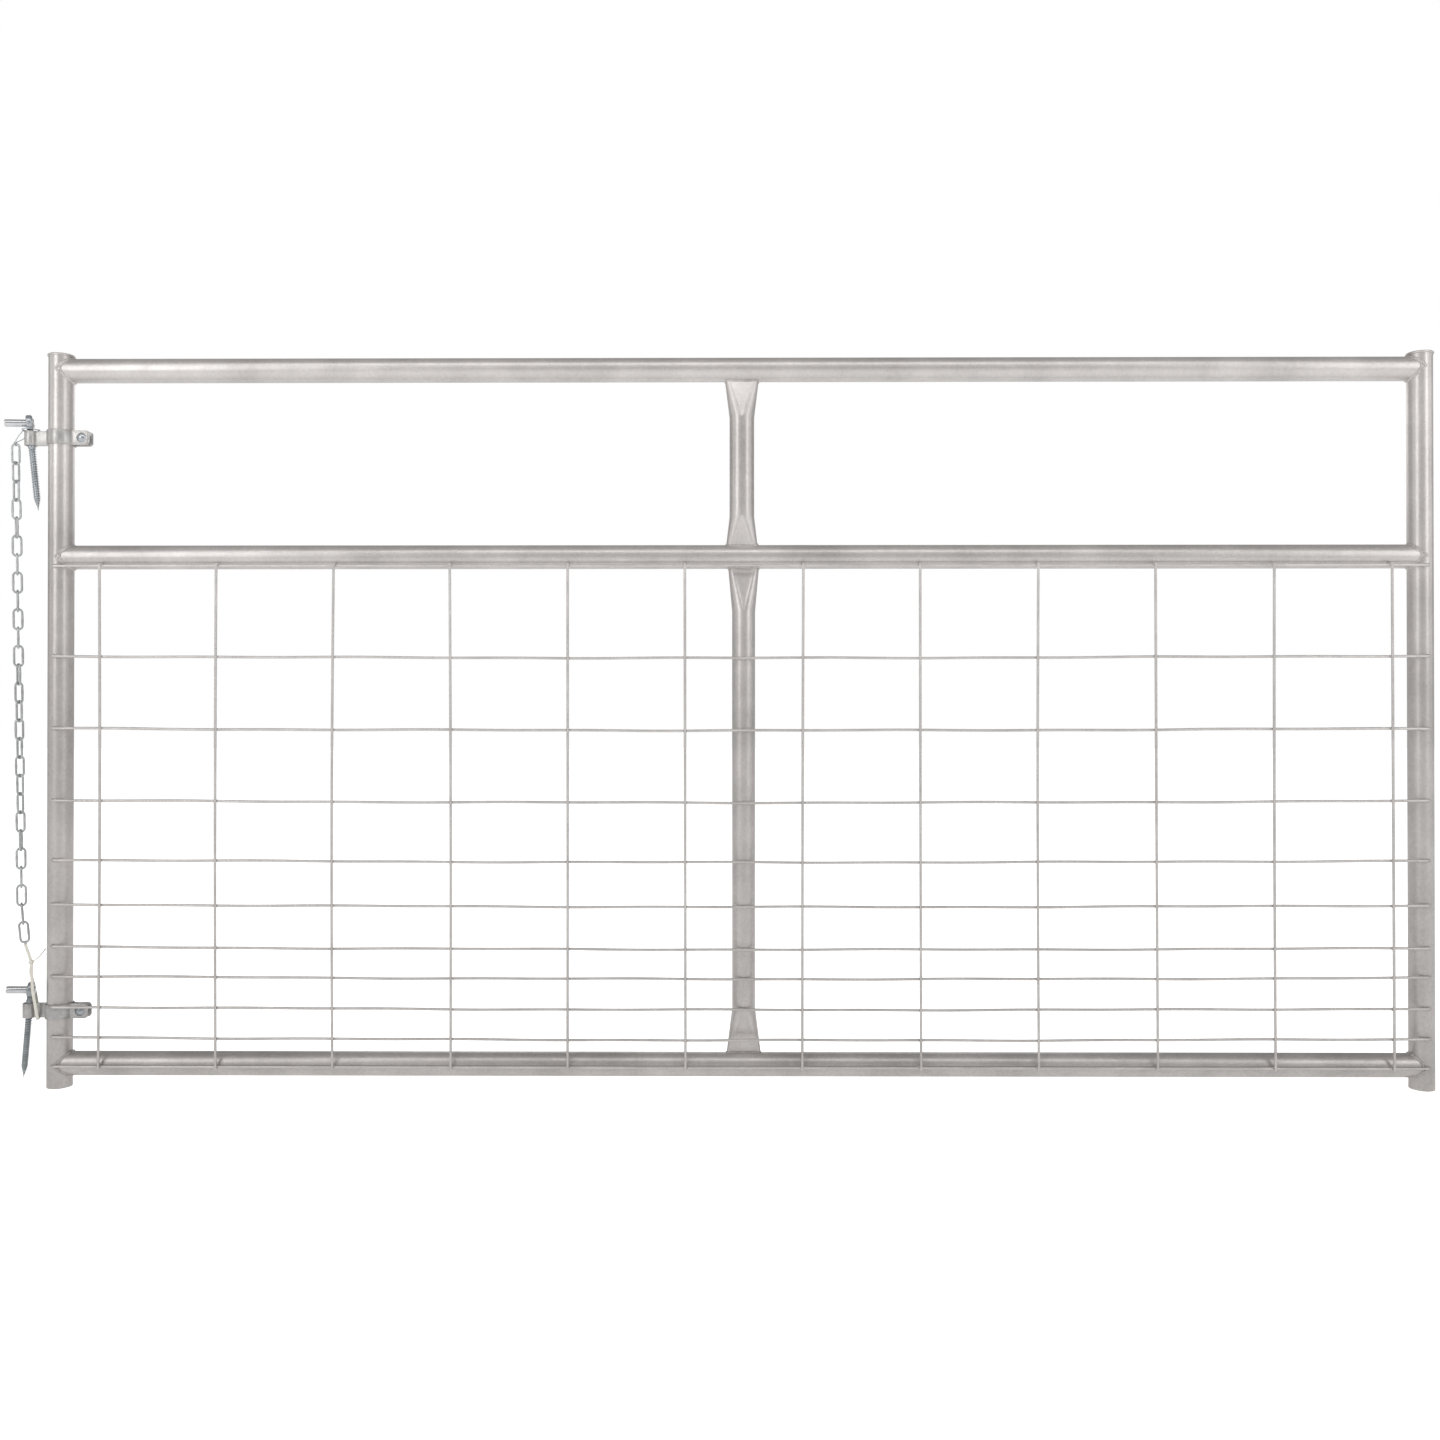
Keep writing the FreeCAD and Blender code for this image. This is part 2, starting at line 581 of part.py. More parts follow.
UPPER_PLACE = hook_place(UPPER_EYE_Z, UPPER_TILT, UPPER_PIN_TURN)
LOWER_PLACE = hook_place(0.0, LOWER_TILT, LOWER_PIN_TURN)
for side, eye_rule, up, hook_at in (("upper", EYE_Z, "upper_ring_up", UPPER_PLACE),
                                    ("lower", "0", "lower_ring_up", LOWER_PLACE)):
    hinge_strap(f"{side}_hinge_strap", eye_rule)
    hinge_bolt(f"{side}_hinge_bolt", eye_rule)
    hinge_nut(f"{side}_hinge_nut", eye_rule)
    lag_hook(f"{side}_lag_hook", up, hook_at)
    hook_pin(f"{side}_hook_pin", up, hook_at)

link_pattern = chain_link()
doc.recompute()
LINKS = link_places()
for section, (first_link, last_link) in enumerate(SECTIONS, start=1):
    chain_section(section, first_link, last_link, link_pattern.Shape, LINKS)
chain_tie(LINKS[1])
cable_tie()
doc.recompute()

for item in doc.Objects:
    if "Invalid" in item.State or "Error" in item.State:
        raise RuntimeError(f"{item.Label} failed: {item.State}")
for item in subparts:
    if item.Shape.isNull() or not item.Shape.isValid():
        raise RuntimeError(f"{item.Label} has no valid shape")

os.makedirs("parts", exist_ok=True)
for item in subparts:
    item.Shape.exportStep(f"parts/{item.Label}.step")

box = Part.makeCompound([item.Shape for item in subparts]).BoundBox
print(f"{len(subparts)} sub-parts, {box.XLength:.1f} x {box.YLength:.1f} x {box.ZLength:.1f} mm")
for _, last in SECTIONS:
    print(f"link {last} crosses the next at {tuple(round(v, 2) for v in LINKS[last][1])}")
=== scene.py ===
# %% [markdown]
# A welded livestock gate: round galvanised tube, a panel of graduated wires, two bolted hinge
# straps, two lag hooks, and a latch chain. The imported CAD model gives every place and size.
# It is loaded first, and everything below is built around it in metres.

# %% Load the frame
import math
import random

import bmesh
import bpy
from mathutils import Matrix, Vector


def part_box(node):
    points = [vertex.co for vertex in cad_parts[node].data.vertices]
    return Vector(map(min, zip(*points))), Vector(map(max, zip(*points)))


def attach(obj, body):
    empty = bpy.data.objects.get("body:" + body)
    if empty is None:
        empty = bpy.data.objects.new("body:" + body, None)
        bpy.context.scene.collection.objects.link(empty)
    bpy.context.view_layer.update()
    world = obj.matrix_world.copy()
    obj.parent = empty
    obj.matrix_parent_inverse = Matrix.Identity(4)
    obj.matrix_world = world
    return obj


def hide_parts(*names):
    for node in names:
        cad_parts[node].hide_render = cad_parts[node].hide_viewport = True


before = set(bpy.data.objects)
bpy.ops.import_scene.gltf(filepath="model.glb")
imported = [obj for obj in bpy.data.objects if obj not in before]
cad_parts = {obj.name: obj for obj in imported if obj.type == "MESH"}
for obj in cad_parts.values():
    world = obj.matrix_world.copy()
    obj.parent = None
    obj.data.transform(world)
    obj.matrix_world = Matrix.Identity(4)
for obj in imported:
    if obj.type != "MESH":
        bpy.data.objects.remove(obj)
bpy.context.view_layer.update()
MM = 0.001
UP = Vector((0, 0, 1))
ALONG = Vector((1, 0, 0))
ACROSS = Vector((0, 1, 0))

# %% [markdown]
# Places come from the boxes of the CAD nodes, so nothing here can drift away from them. A tube
# lying along X has its axis at the middle of its box, and an upright one is found the same way.

# %% Places read from the frame
def middle(node):
    low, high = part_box(node)
    return (Vector(low) + Vector(high)) / 2


HINGE_AXIS = middle("hinge_post")
LATCH_AXIS = middle("latch_post")
BRACE_X = {part: middle(part).x for part in ("upper_brace", "lower_brace")}
RAIL_Z = {rail: middle(rail).z for rail in ("bottom_rail", "middle_rail", "top_rail")}
TUBE_R = (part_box("hinge_post")[1][0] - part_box("hinge_post")[0][0]) / 2
WIRE_R = (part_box("line_wire_1")[1][2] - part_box("line_wire_1")[0][2]) / 2
LINE_WIRES = sorted((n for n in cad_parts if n.startswith("line_wire_")), key=lambda n: middle(n).z)
STAY_WIRES = sorted((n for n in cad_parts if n.startswith("stay_wire_")), key=lambda n: middle(n).x)
EYE_Z = {"upper": middle("upper_hinge_strap").z, "lower": middle("lower_hinge_strap").z}
print("tube radius", round(TUBE_R / MM, 2), "mm, wire radius", round(WIRE_R / MM, 2), "mm")

# %% [markdown]
# The setting is plain: a pale floor under the gate's two feet, and white all round. The world is
# white where the camera looks straight at it, and dimmer for the light that it sheds. The floor is
# the same. So the round tubes keep their light and dark bands.

# %% Floor and world
FLOOR_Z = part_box("hinge_post")[0][2]


def node_link(tree, source, target):
    tree.links.new(source, target)


floor_mesh = bpy.data.meshes.new("studio_floor")
REACH = 30.0
floor_mesh.from_pydata(
    [(-REACH, -REACH, 0), (REACH, -REACH, 0), (REACH, REACH, 0), (-REACH, REACH, 0)], [], [(0, 1, 2, 3)])
floor = bpy.data.objects.new("studio_floor", floor_mesh)
floor.location = (0, 0, FLOOR_Z - 0.0004)
bpy.context.scene.collection.objects.link(floor)

paper = bpy.data.materials.new("studio_paper")
paper.use_nodes = True
paper_shader = paper.node_tree.nodes["Principled BSDF"]
paper_shader.inputs["Base Color"].default_value = (0.92, 0.92, 0.92, 1)
paper_shader.inputs["Roughness"].default_value = 0.9
paper_shader.inputs["Specular IOR Level"].default_value = 0.1
paper_shader.inputs["Emission Color"].default_value = (1, 1, 1, 1)
seen_floor = paper.node_tree.nodes.new("ShaderNodeLightPath")
glow = paper.node_tree.nodes.new("ShaderNodeMapRange")
glow.inputs["To Min"].default_value = 0.34
glow.inputs["To Max"].default_value = 0.86
node_link(paper.node_tree, seen_floor.outputs["Is Camera Ray"], glow.inputs["Value"])
node_link(paper.node_tree, glow.outputs["Result"], paper_shader.inputs["Emission Strength"])
floor_mesh.materials.append(paper)

world = bpy.data.worlds.new("white_studio")
world.use_nodes = True
bpy.context.scene.world = world
sky = world.node_tree
sky.nodes.clear()
seen = sky.nodes.new("ShaderNodeBackground")
seen.inputs["Color"].default_value = (1, 1, 1, 1)
shed = sky.nodes.new("ShaderNodeBackground")
shed.inputs["Color"].default_value = (1.0, 0.99, 0.98, 1)
shed.inputs["Strength"].default_value = 0.33
which = sky.nodes.new("ShaderNodeLightPath")
mixed = sky.nodes.new("ShaderNodeMixShader")
sky_out = sky.nodes.new("ShaderNodeOutputWorld")
node_link(sky, which.outputs["Is Camera Ray"], mixed.inputs["Fac"])
node_link(sky, shed.outputs[0], mixed.inputs[1])
node_link(sky, seen.outputs[0], mixed.inputs[2])
node_link(sky, mixed.outputs[0], sky_out.inputs["Surface"])
print("floor at", round(FLOOR_Z, 4), "m")

# %% [markdown]
# Soft boxes are area lights. Two tall ones stand in front of the gate, left and right, and a long
# one hangs above them. They make the bright bands along the tubes. Others at the sides and the back
# keep the other views from going flat.

# %% Lights and camera
GATE_MIDDLE = Vector((BRACE_X["upper_brace"], 0, (RAIL_Z["bottom_rail"] + RAIL_Z["top_rail"]) / 2))


def soft_box(name, place, width, height, power, target=GATE_MIDDLE):
    light = bpy.data.lights.new(name, "AREA")
    light.shape = "RECTANGLE"
    light.size = width
    light.size_y = height
    light.energy = power
    box = bpy.data.objects.new(name, light)
    box.location = place
    box.rotation_euler = (target - Vector(place)).to_track_quat("-Z", "Y").to_euler()
    bpy.context.scene.collection.objects.link(box)
    return box


soft_box("front_left_box", (-1.5, -3.1, 1.9), 1.3, 2.2, 24)
soft_box("front_right_box", (4.3, -2.7, 1.9), 1.3, 2.2, 20)
soft_box("high_box", (1.2, -2.6, 3.4), 4.6, 0.9, 26)
soft_box("left_box", (-3.6, -0.9, 2.0), 1.4, 2.2, 8)
soft_box("right_box", (5.9, -0.9, 1.8), 1.4, 2.2, 8)
soft_box("back_box", (1.2, 4.6, 2.4), 4.2, 1.6, 24)

camera_data = bpy.data.cameras.new("camera")
camera_data.sensor_width = 36.0
camera_data.lens = 31.044
camera_data.shift_y = -0.0024
camera = bpy.data.objects.new("camera", camera_data)
camera.location = (1.217, -2.160, 0.4987)
camera.rotation_euler = (math.radians(90.335), 0, math.radians(0.346))
bpy.context.scene.collection.objects.link(camera)
bpy.context.scene.camera = camera
bpy.context.scene.view_settings.view_transform = "Standard"
print("camera", [round(v, 3) for v in camera.location])

# %% [markdown]
# Hot-dip zinc isn't one grey. It has soft cloudy patches, faint crystal spangle and thin runs; the
# group draws the patches and the spangle. It also paints the colour darker towards the ground, as
# painted shade for the dimmer light low on the gate. All the zinc finishes share that, so it is one
# node group with named inputs, and each material sets its own colours and strengths.

# %% The shared zinc effect, with painted shade by height
def new_group(name, inputs, outputs):
    group = bpy.data.node_groups.new(name, "ShaderNodeTree")
    for label, kind, value in inputs:
        socket = group.interface.new_socket(label, in_out="INPUT", socket_type=kind)
        socket.default_value = value
    for label, kind in outputs:
        group.interface.new_socket(label, in_out="OUTPUT", socket_type=kind)
    return group, group.nodes.new("NodeGroupInput"), group.nodes.new("NodeGroupOutput")


def add_noise(tree, scale, detail, vector, roughness=0.55):
    noise = tree.nodes.new("ShaderNodeTexNoise")
    noise.inputs["Detail"].default_value = detail
    noise.inputs["Roughness"].default_value = roughness
    if isinstance(scale, (int, float)):
        noise.inputs["Scale"].default_value = scale
    else:
        node_link(tree, scale, noise.inputs["Scale"])
    node_link(tree, vector, noise.inputs["Vector"])
    return noise.outputs["Fac"]


def add_range(tree, value, low, high, to_low=0.0, to_high=1.0):
    ramp = tree.nodes.new("ShaderNodeMapRange")
    for socket, number in (("From Min", low), ("From Max", high), ("To Min", to_low), ("To Max", to_high)):
        ramp.inputs[socket].default_value = number
    node_link(tree, value, ramp.inputs["Value"])
    return ramp.outputs["Result"]


def add_math(tree, operation, first, second):
    step = tree.nodes.new("ShaderNodeMath")
    step.operation = operation
    for socket, value in zip(step.inputs, (first, second)):
        if isinstance(value, (int, float)):
            socket.default_value = value
        else:
            node_link(tree, value, socket)
    return step.outputs[0]


def add_mix(tree, amount, first, second):
    mix = tree.nodes.new("ShaderNodeMix")
    mix.data_type = "RGBA"
    sockets = {"Factor": amount, "A": first, "B": second}
    colour_sockets = [s for s in mix.inputs if s.type == "RGBA"]
    factor_socket = mix.inputs[0]
    if isinstance(amount, (int, float)):
        factor_socket.default_value = amount
    else:
        node_link(tree, sockets["Factor"], factor_socket)
    for socket, value in zip(colour_sockets, (first, second)):
        if isinstance(value, tuple):
            socket.default_value = value
        else:
            node_link(tree, value, socket)
    return next(s for s in mix.outputs if s.type == "RGBA")


zinc, zinc_in, zinc_out = new_group(
    "Zinc skin and painted shade",
    (("Bright", "NodeSocketColor", (0.72, 0.72, 0.71, 1)), ("Dull", "NodeSocketColor", (0.5, 0.5, 0.49, 1)),
     ("Cloud Scale", "NodeSocketFloat", 14.0), ("Spangle Scale", "NodeSocketFloat", 260.0),
     ("Spangle Amount", "NodeSocketFloat", 0.25), ("Painted Shade Low Height", "NodeSocketFloat", -0.1),
     ("Painted Shade High Height", "NodeSocketFloat", 1.1), ("Roughness Low", "NodeSocketFloat", 0.34),
     ("Roughness High", "NodeSocketFloat", 0.55)),
    (("Color", "NodeSocketColor"), ("Roughness", "NodeSocketFloat"), ("Height", "NodeSocketFloat")))
place = zinc.nodes.new("ShaderNodeTexCoord").outputs["Object"]
clouds = add_noise(zinc, zinc_in.outputs["Cloud Scale"], 5.0, place)
cells = zinc.nodes.new("ShaderNodeTexVoronoi")
node_link(zinc, place, cells.inputs["Vector"])
node_link(zinc, zinc_in.outputs["Spangle Scale"], cells.inputs["Scale"])
spangle = zinc.nodes.new("ShaderNodeRGBToBW")
node_link(zinc, cells.outputs["Color"], spangle.inputs[0])
# Painted shade: height sets part of the colour mix, darker low down and lighter high up, standing in for the
# dimmer light near the ground.
split = zinc.nodes.new("ShaderNodeSeparateXYZ")
node_link(zinc, place, split.inputs[0])
painted_shade_ramp = zinc.nodes.new("ShaderNodeMapRange")
node_link(zinc, split.outputs["Z"], painted_shade_ramp.inputs["Value"])
node_link(zinc, zinc_in.outputs["Painted Shade Low Height"], painted_shade_ramp.inputs["From Min"])
node_link(zinc, zinc_in.outputs["Painted Shade High Height"], painted_shade_ramp.inputs["From Max"])
cloud_part = add_range(zinc, clouds, 0.32, 0.68, 0.0, 0.5)
painted_shade_part = add_math(zinc, "MULTIPLY", painted_shade_ramp.outputs["Result"], 0.5)
# The mix adds the cloudy patches and the spangle, which are the zinc's own tone, to the painted shade by
# height.
shade = add_math(zinc, "ADD", cloud_part, painted_shade_part)
spangle_part = add_math(zinc, "MULTIPLY", add_range(zinc, spangle.outputs[0], 0, 1, -0.5, 0.5),
                        zinc_in.outputs["Spangle Amount"])
shade = add_math(zinc, "ADD", shade, spangle_part)
shade_limit = add_range(zinc, shade, 0.0, 1.0)
node_link(zinc, add_mix(zinc, shade_limit, zinc_in.outputs["Dull"], zinc_in.outputs["Bright"]),
          zinc_out.inputs["Color"])
rough = zinc.nodes.new("ShaderNodeMapRange")
node_link(zinc, add_noise(zinc, 55.0, 4.0, place), rough.inputs["Value"])
node_link(zinc, zinc_in.outputs["Roughness Low"], rough.inputs["To Min"])
node_link(zinc, zinc_in.outputs["Roughness High"], rough.inputs["To Max"])
node_link(zinc, rough.outputs["Result"], zinc_out.inputs["Roughness"])
grain = add_noise(zinc, 900.0, 3.0, place)
lumps = add_noise(zinc, 120.0, 3.0, place)
node_link(zinc, add_math(zinc, "ADD", add_math(zinc, "MULTIPLY", grain, 0.35), lumps),
          zinc_out.inputs["Height"])
print("node group", zinc.name, "has", len(zinc.nodes), "nodes")

# %% [markdown]
# A material is the group above, a Bump node and the Principled shader. What is the same all over a
# surface, such as how metallic it is, is set on the shader itself.

# %% Metal finishes
def metal(name, metallic, bump, bump_depth, coat=0.0, **values):
    material = bpy.data.materials.new(name)
    material.use_nodes = True
    tree = material.node_tree
    shader = tree.nodes["Principled BSDF"]
    skin = tree.nodes.new("ShaderNodeGroup")
    skin.node_tree = zinc
    for label, value in values.items():
        skin.inputs[label.replace("_", " ")].default_value = value
    relief = tree.nodes.new("ShaderNodeBump")
    relief.inputs["Strength"].default_value = bump
    relief.inputs["Distance"].default_value = bump_depth
    node_link(tree, skin.outputs["Height"], relief.inputs["Height"])
    node_link(tree, skin.outputs["Color"], shader.inputs["Base Color"])
    node_link(tree, skin.outputs["Roughness"], shader.inputs["Roughness"])
    node_link(tree, relief.outputs["Normal"], shader.inputs["Normal"])
    shader.inputs["Metallic"].default_value = metallic
    shader.inputs["Coat Weight"].default_value = coat
    return material


# Every zinc finish below takes the group's painted shade: darker low down, lighter high up.
TUBE = metal("galvanised_tube", 0.72, 0.22, 0.0004, Bright=(0.78, 0.748, 0.728, 1),
             Dull=(0.45, 0.428, 0.412, 1),
             Cloud_Scale=9.0, Spangle_Scale=240.0, Spangle_Amount=0.22, Roughness_Low=0.30,
             Roughness_High=0.46)
WIRE = metal("galvanised_wire", 0.70, 0.2, 0.0003, Bright=(0.80, 0.770, 0.750, 1),
             Dull=(0.54, 0.518, 0.502, 1),
             Cloud_Scale=20.0, Spangle_Scale=420.0, Spangle_Amount=0.3, Roughness_Low=0.32,
             Roughness_High=0.5)
STRAP = metal("galvanised_strap", 0.75, 0.3, 0.0004, Bright=(0.66, 0.645, 0.63, 1),
              Dull=(0.38, 0.372, 0.365, 1),
              Cloud_Scale=40.0, Spangle_Scale=300.0, Spangle_Amount=0.35, Roughness_Low=0.28,
              Roughness_High=0.5)
HARDWARE = metal("bright_zinc_hardware", 0.9, 0.25, 0.0003, Bright=(0.60, 0.63, 0.66, 1),
                 Dull=(0.30, 0.33, 0.345, 1), Cloud_Scale=60.0, Spangle_Scale=500.0, Spangle_Amount=0.2,
                 Roughness_Low=0.22, Roughness_High=0.42)
PIN = metal("turned_pin_steel", 0.95, 0.1, 0.0002, Bright=(0.80, 0.81, 0.83, 1), Dull=(0.55, 0.56, 0.575, 1),
            Cloud_Scale=50.0, Spangle_Scale=600.0, Spangle_Amount=0.12, Roughness_Low=0.14,
            Roughness_High=0.3)
CHAIN = metal("zinc_chain", 0.88, 0.2, 0.0003, Bright=(0.70, 0.71, 0.72, 1), Dull=(0.40, 0.41, 0.42, 1),
              Cloud_Scale=70.0, Spangle_Scale=500.0, Spangle_Amount=0.25, Roughness_Low=0.22,
              Roughness_High=0.42)
WELD = metal("weld_metal", 0.7, 0.6, 0.0006, Bright=(0.76, 0.73, 0.71, 1), Dull=(0.40, 0.382, 0.37, 1),
             Cloud_Scale=90.0, Spangle_Scale=350.0, Spangle_Amount=0.4, Roughness_Low=0.34,
             Roughness_High=0.6)
print("metal finishes:", ", ".join(m.name for m in (TUBE, WIRE, STRAP, HARDWARE, PIN, CHAIN, WELD)))

# %% [markdown]
# The cable tie is natural nylon: milky, a little translucent, with a soft sheen and faint marks
# from the mould. It shares nothing with the metals, so it has nodes of its own.

# %% Nylon
NYLON = bpy.data.materials.new("natural_nylon")
NYLON.use_nodes = True
nylon_tree = NYLON.node_tree
nylon_shader = nylon_tree.nodes["Principled BSDF"]
nylon_place = nylon_tree.nodes.new("ShaderNodeTexCoord").outputs["Object"]
milk = add_noise(nylon_tree, 180.0, 3.0, nylon_place)
node_link(nylon_tree, add_mix(nylon_tree, milk, (0.78, 0.75, 0.66, 1), (0.90, 0.88, 0.80, 1)),
          nylon_shader.inputs["Base Color"])
node_link(nylon_tree, add_range(nylon_tree, milk, 0.3, 0.7, 0.34, 0.5), nylon_shader.inputs["Roughness"])
nylon_shader.inputs["Subsurface Weight"].default_value = 0.15
nylon_shader.inputs["Subsurface Radius"].default_value = (0.002, 0.0016, 0.001)
print("nylon finish:", NYLON.name)

# %% [markdown]
# Tubes and posts already have their right shape in CAD, so those nodes stay and only take a
# finish. The bolts and nuts stay too. Everything else below is a finer piece that takes the place
# of its CAD node.

# %% Finish the CAD nodes that stay
KEPT = {"hinge_post": TUBE, "latch_post": TUBE, "top_rail": TUBE, "middle_rail": TUBE, "bottom_rail": TUBE,
        "upper_hinge_bolt": HARDWARE, "lower_hinge_bolt": HARDWARE, "upper_hinge_nut": HARDWARE,
        "lower_hinge_nut": HARDWARE}
for node, finish in KEPT.items():
    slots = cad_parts[node].material_slots
    if not slots:
        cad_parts[node].data.materials.append(finish)
    for slot in slots:
        slot.material = finish
print(len(KEPT), "CAD nodes keep their shape")

# %% [markdown]
# Most of what is left is some bar, wire or strip that follows a line. One helper carries a section
# along a path, turning it as little as it can, and returns plain points and faces. A second helper
# makes the object, gives it its finish and says which body it rides on.

# %% Helpers that make meshes
class Shape:
    """Points and faces gathered from several runs."""

    def __init__(self):
        self.points = []
        self.faces = []

    def add(self, points, faces):
        start = len(self.points)
        self.points.extend(points)
        self.faces.extend(tuple(i + start for i in face) for face in faces)
        return self


def grid_faces(rows, columns, closed_rows=False):
    faces = []
    for i in range(rows if closed_rows else rows - 1):
        j = (i + 1) % rows
        for k in range(columns):
            n = (k + 1) % columns
            faces.append((i * columns + k, i * columns + n, j * columns + n, j * columns + k))
    return faces


def carried_frames(path, closed, first_side=None):
    """A side and a normal at each point of a path, carried along with the least turning."""
    count = len(path)
    tangents = []
    for i in range(count):
        before = path[i - 1] if (i or closed) else path[0]
        after = path[(i + 1) % count] if (i < count - 1 or closed) else path[-1]
        tangents.append((after - before).normalized())
    side = first_side or (UP if abs(tangents[0].dot(UP)) < 0.9 else ALONG)
    frames = []
    for tangent in tangents:
        side = (side - tangent * side.dot(tangent)).normalized()
        frames.append((side, tangent.cross(side)))
    return frames


def swept(path, radius, sides=12, closed=False, first_side=None):
    """A round bar along a path. radius is a number or a function of the place along it, 0 to 1."""
    points = []
    frames = carried_frames(path, closed, first_side)
    for i, (spot, (side, normal)) in enumerate(zip(path, frames)):
        r = radius(i / max(1, len(path) - 1)) if callable(radius) else radius
        for k in range(sides):
            a = 2 * math.pi * k / sides
            points.append(spot + side * (r * math.cos(a)) + normal * (r * math.sin(a)))
    faces = grid_faces(len(path), sides, closed)
    if not closed:
        faces.append(tuple(range(sides - 1, -1, -1)))
        faces.append(tuple(range((len(path) - 1) * sides, len(path) * sides)))
    return points, faces


def turned(profile, sides, place):
    """A turned piece: profile is (radius, height) pairs from one end of the axis to the other."""
    points = []
    for r, h in profile:
        for k in range(sides):
            a = 2 * math.pi * k / sides
            points.append(place @ Vector((r * math.cos(a), r * math.sin(a), h)))
    faces = grid_faces(len(profile), sides)
    faces.append(tuple(range(sides - 1, -1, -1)))
    faces.append(tuple(range((len(profile) - 1) * sides, len(profile) * sides)))
    return points, faces


def smooth_path(corners, steps=8):
    """A smooth line through the given points (a Catmull-Rom spline)."""
    padded = [corners[0] * 2 - corners[1]] + list(corners) + [corners[-1] * 2 - corners[-2]]
    path = []
    for p0, p1, p2, p3 in zip(padded, padded[1:], padded[2:], padded[3:]):
        for i in range(steps):
            t = i / steps
            path.append(0.5 * ((2 * p1) + (p2 - p0) * t + (2 * p0 - 5 * p1 + 4 * p2 - p3) * t * t
                               + (3 * p1 - p0 - 3 * p2 + p3) * t * t * t))
    path.append(corners[-1])
    return path


def make_piece(name, shape, finish, body, stands_for=(), crisp=35.0):
    mesh = bpy.data.meshes.new(name)
    mesh.from_pydata([tuple(p) for p in shape.points], [], shape.faces)
    mesh.validate()
    outward = bmesh.new()
    outward.from_mesh(mesh)
    bmesh.ops.recalc_face_normals(outward, faces=outward.faces)
    outward.to_mesh(mesh)
    outward.free()
    mesh.materials.append(finish)
    mesh.polygons.foreach_set("use_smooth", [True] * len(mesh.polygons))
    mesh.set_sharp_from_angle(angle=math.radians(crisp))
    piece = bpy.data.objects.new(name, mesh)
    bpy.context.scene.collection.objects.link(piece)
    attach(piece, body)
    if stands_for:
        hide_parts(*stands_for)
    return piece


print("mesh helpers ready")

# %% [markdown]
# The level wires are cold-drawn and come off a coil, so they are never quite straight. Each one
# sags a few millimetres between the posts, except the top and bottom wires, which are welded to a
# rail. The third wire springs forward over the lower strap. Their cut ends stop just past the
# middle of each post.

# %% Level wires
WIRE_SAG = 3.6 * MM
PLAIN_Y = middle(LINE_WIRES[0]).y
FIRST_STAY_X = middle(STAY_WIRES[0]).x
LIFTED_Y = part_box(LINE_WIRES[2])[0][1] + WIRE_R
LIFT_RUN = 0.049
LIFTED_RANK = 2


def wire_line(node, x):
    """Where a level wire's centre is at one place along the gate."""
    low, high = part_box(node)
    rank = LINE_WIRES.index(node)
    sag = 0.0 if rank in (0, len(LINE_WIRES) - 1) else WIRE_SAG
    half = (high[0] - low[0]) / 2
    u = (x - (low[0] + high[0]) / 2) / half
    kink = 0.5 * MM * math.sin(x * 9.0 + rank * 1.7) + 0.4 * MM * math.sin(x * 23.0 + rank * 2.9)
    z = low[2] + WIRE_R - sag * (1 - u * u) + (kink if sag else 0.0)
    y = PLAIN_Y
    if rank == LIFTED_RANK and x < FIRST_STAY_X:
        t = min(1.0, (FIRST_STAY_X - x) / LIFT_RUN)
        y += (LIFTED_Y - PLAIN_Y) * (3 * t * t - 2 * t * t * t)
    return Vector((x, y, z))


for node in LINE_WIRES:
    low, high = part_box(node)
    steps = 120
    line = [wire_line(node, low[0] + (high[0] - low[0]) * i / steps) for i in range(steps + 1)]
    shape = Shape().add(*swept(line, WIRE_R, 12))
    make_piece(node + "_drawn", shape, WIRE, "gate_frame", (node,), crisp=60)
print(len(LINE_WIRES), "level wires, sagging", round(WIRE_SAG / MM, 1), "mm")

# %% [markdown]
# The upright wires stand in front of the level ones. Each leans or bows by a millimetre or three.
# A seeded random draw gives every wire its own bow, the same on every run.

# %% Upright wires
def stay_line(node, z):
    low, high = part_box(node)
    rank = STAY_WIRES.index(node)
    draw = random.Random(40 + rank)
    lean, bow = draw.uniform(-1.4, 1.4) * MM, draw.uniform(-2.2, 2.2) * MM
    u = (z - low[2]) / (high[2] - low[2])
    x = middle(node).x + lean * (2 * u - 1) + bow * math.sin(math.pi * u)
    return Vector((x, middle(node).y, z))


for node in STAY_WIRES:
    low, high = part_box(node)
    steps = 48
    line = [stay_line(node, low[2] + (high[2] - low[2]) * i / steps) for i in range(steps + 1)]
    shape = Shape().add(*swept(line, WIRE_R, 12))
    make_piece(node + "_drawn", shape, WIRE, "gate_frame", (node,), crisp=60)
print(len(STAY_WIRES), "upright wires")

# %% [markdown]
# Where two wires cross, resistance welding presses one into the other and leaves a small squashed
# nugget. A nugget is a lumpy ball, a little different each time.

# %% Weld nuggets on the wire panel
def nugget(centre, size, draw, rings=6, sides=8):
    """A lumpy ball. size is its three half sizes."""
    points = []
    for i in range(1, rings):
        a = math.pi * i / rings
        for k in range(sides):
            b = 2 * math.pi * k / sides
            r = 1 + draw.uniform(-0.14, 0.14)
            points.append(centre + Vector((size[0] * math.sin(a) * math.cos(b) * r,
                                           size[1] * math.sin(a) * math.sin(b) * r,
                                           size[2] * math.cos(a) * r)))
    faces = grid_faces(rings - 1, sides)
    top, bottom = len(points), len(points) + 1
    points += [centre + UP * size[2], centre - UP * size[2]]
    last = (rings - 2) * sides
    for k in range(sides):
        n = (k + 1) % sides
        faces.append((k, top, n))
        faces.append((last + k, last + n, bottom))
    return points, faces


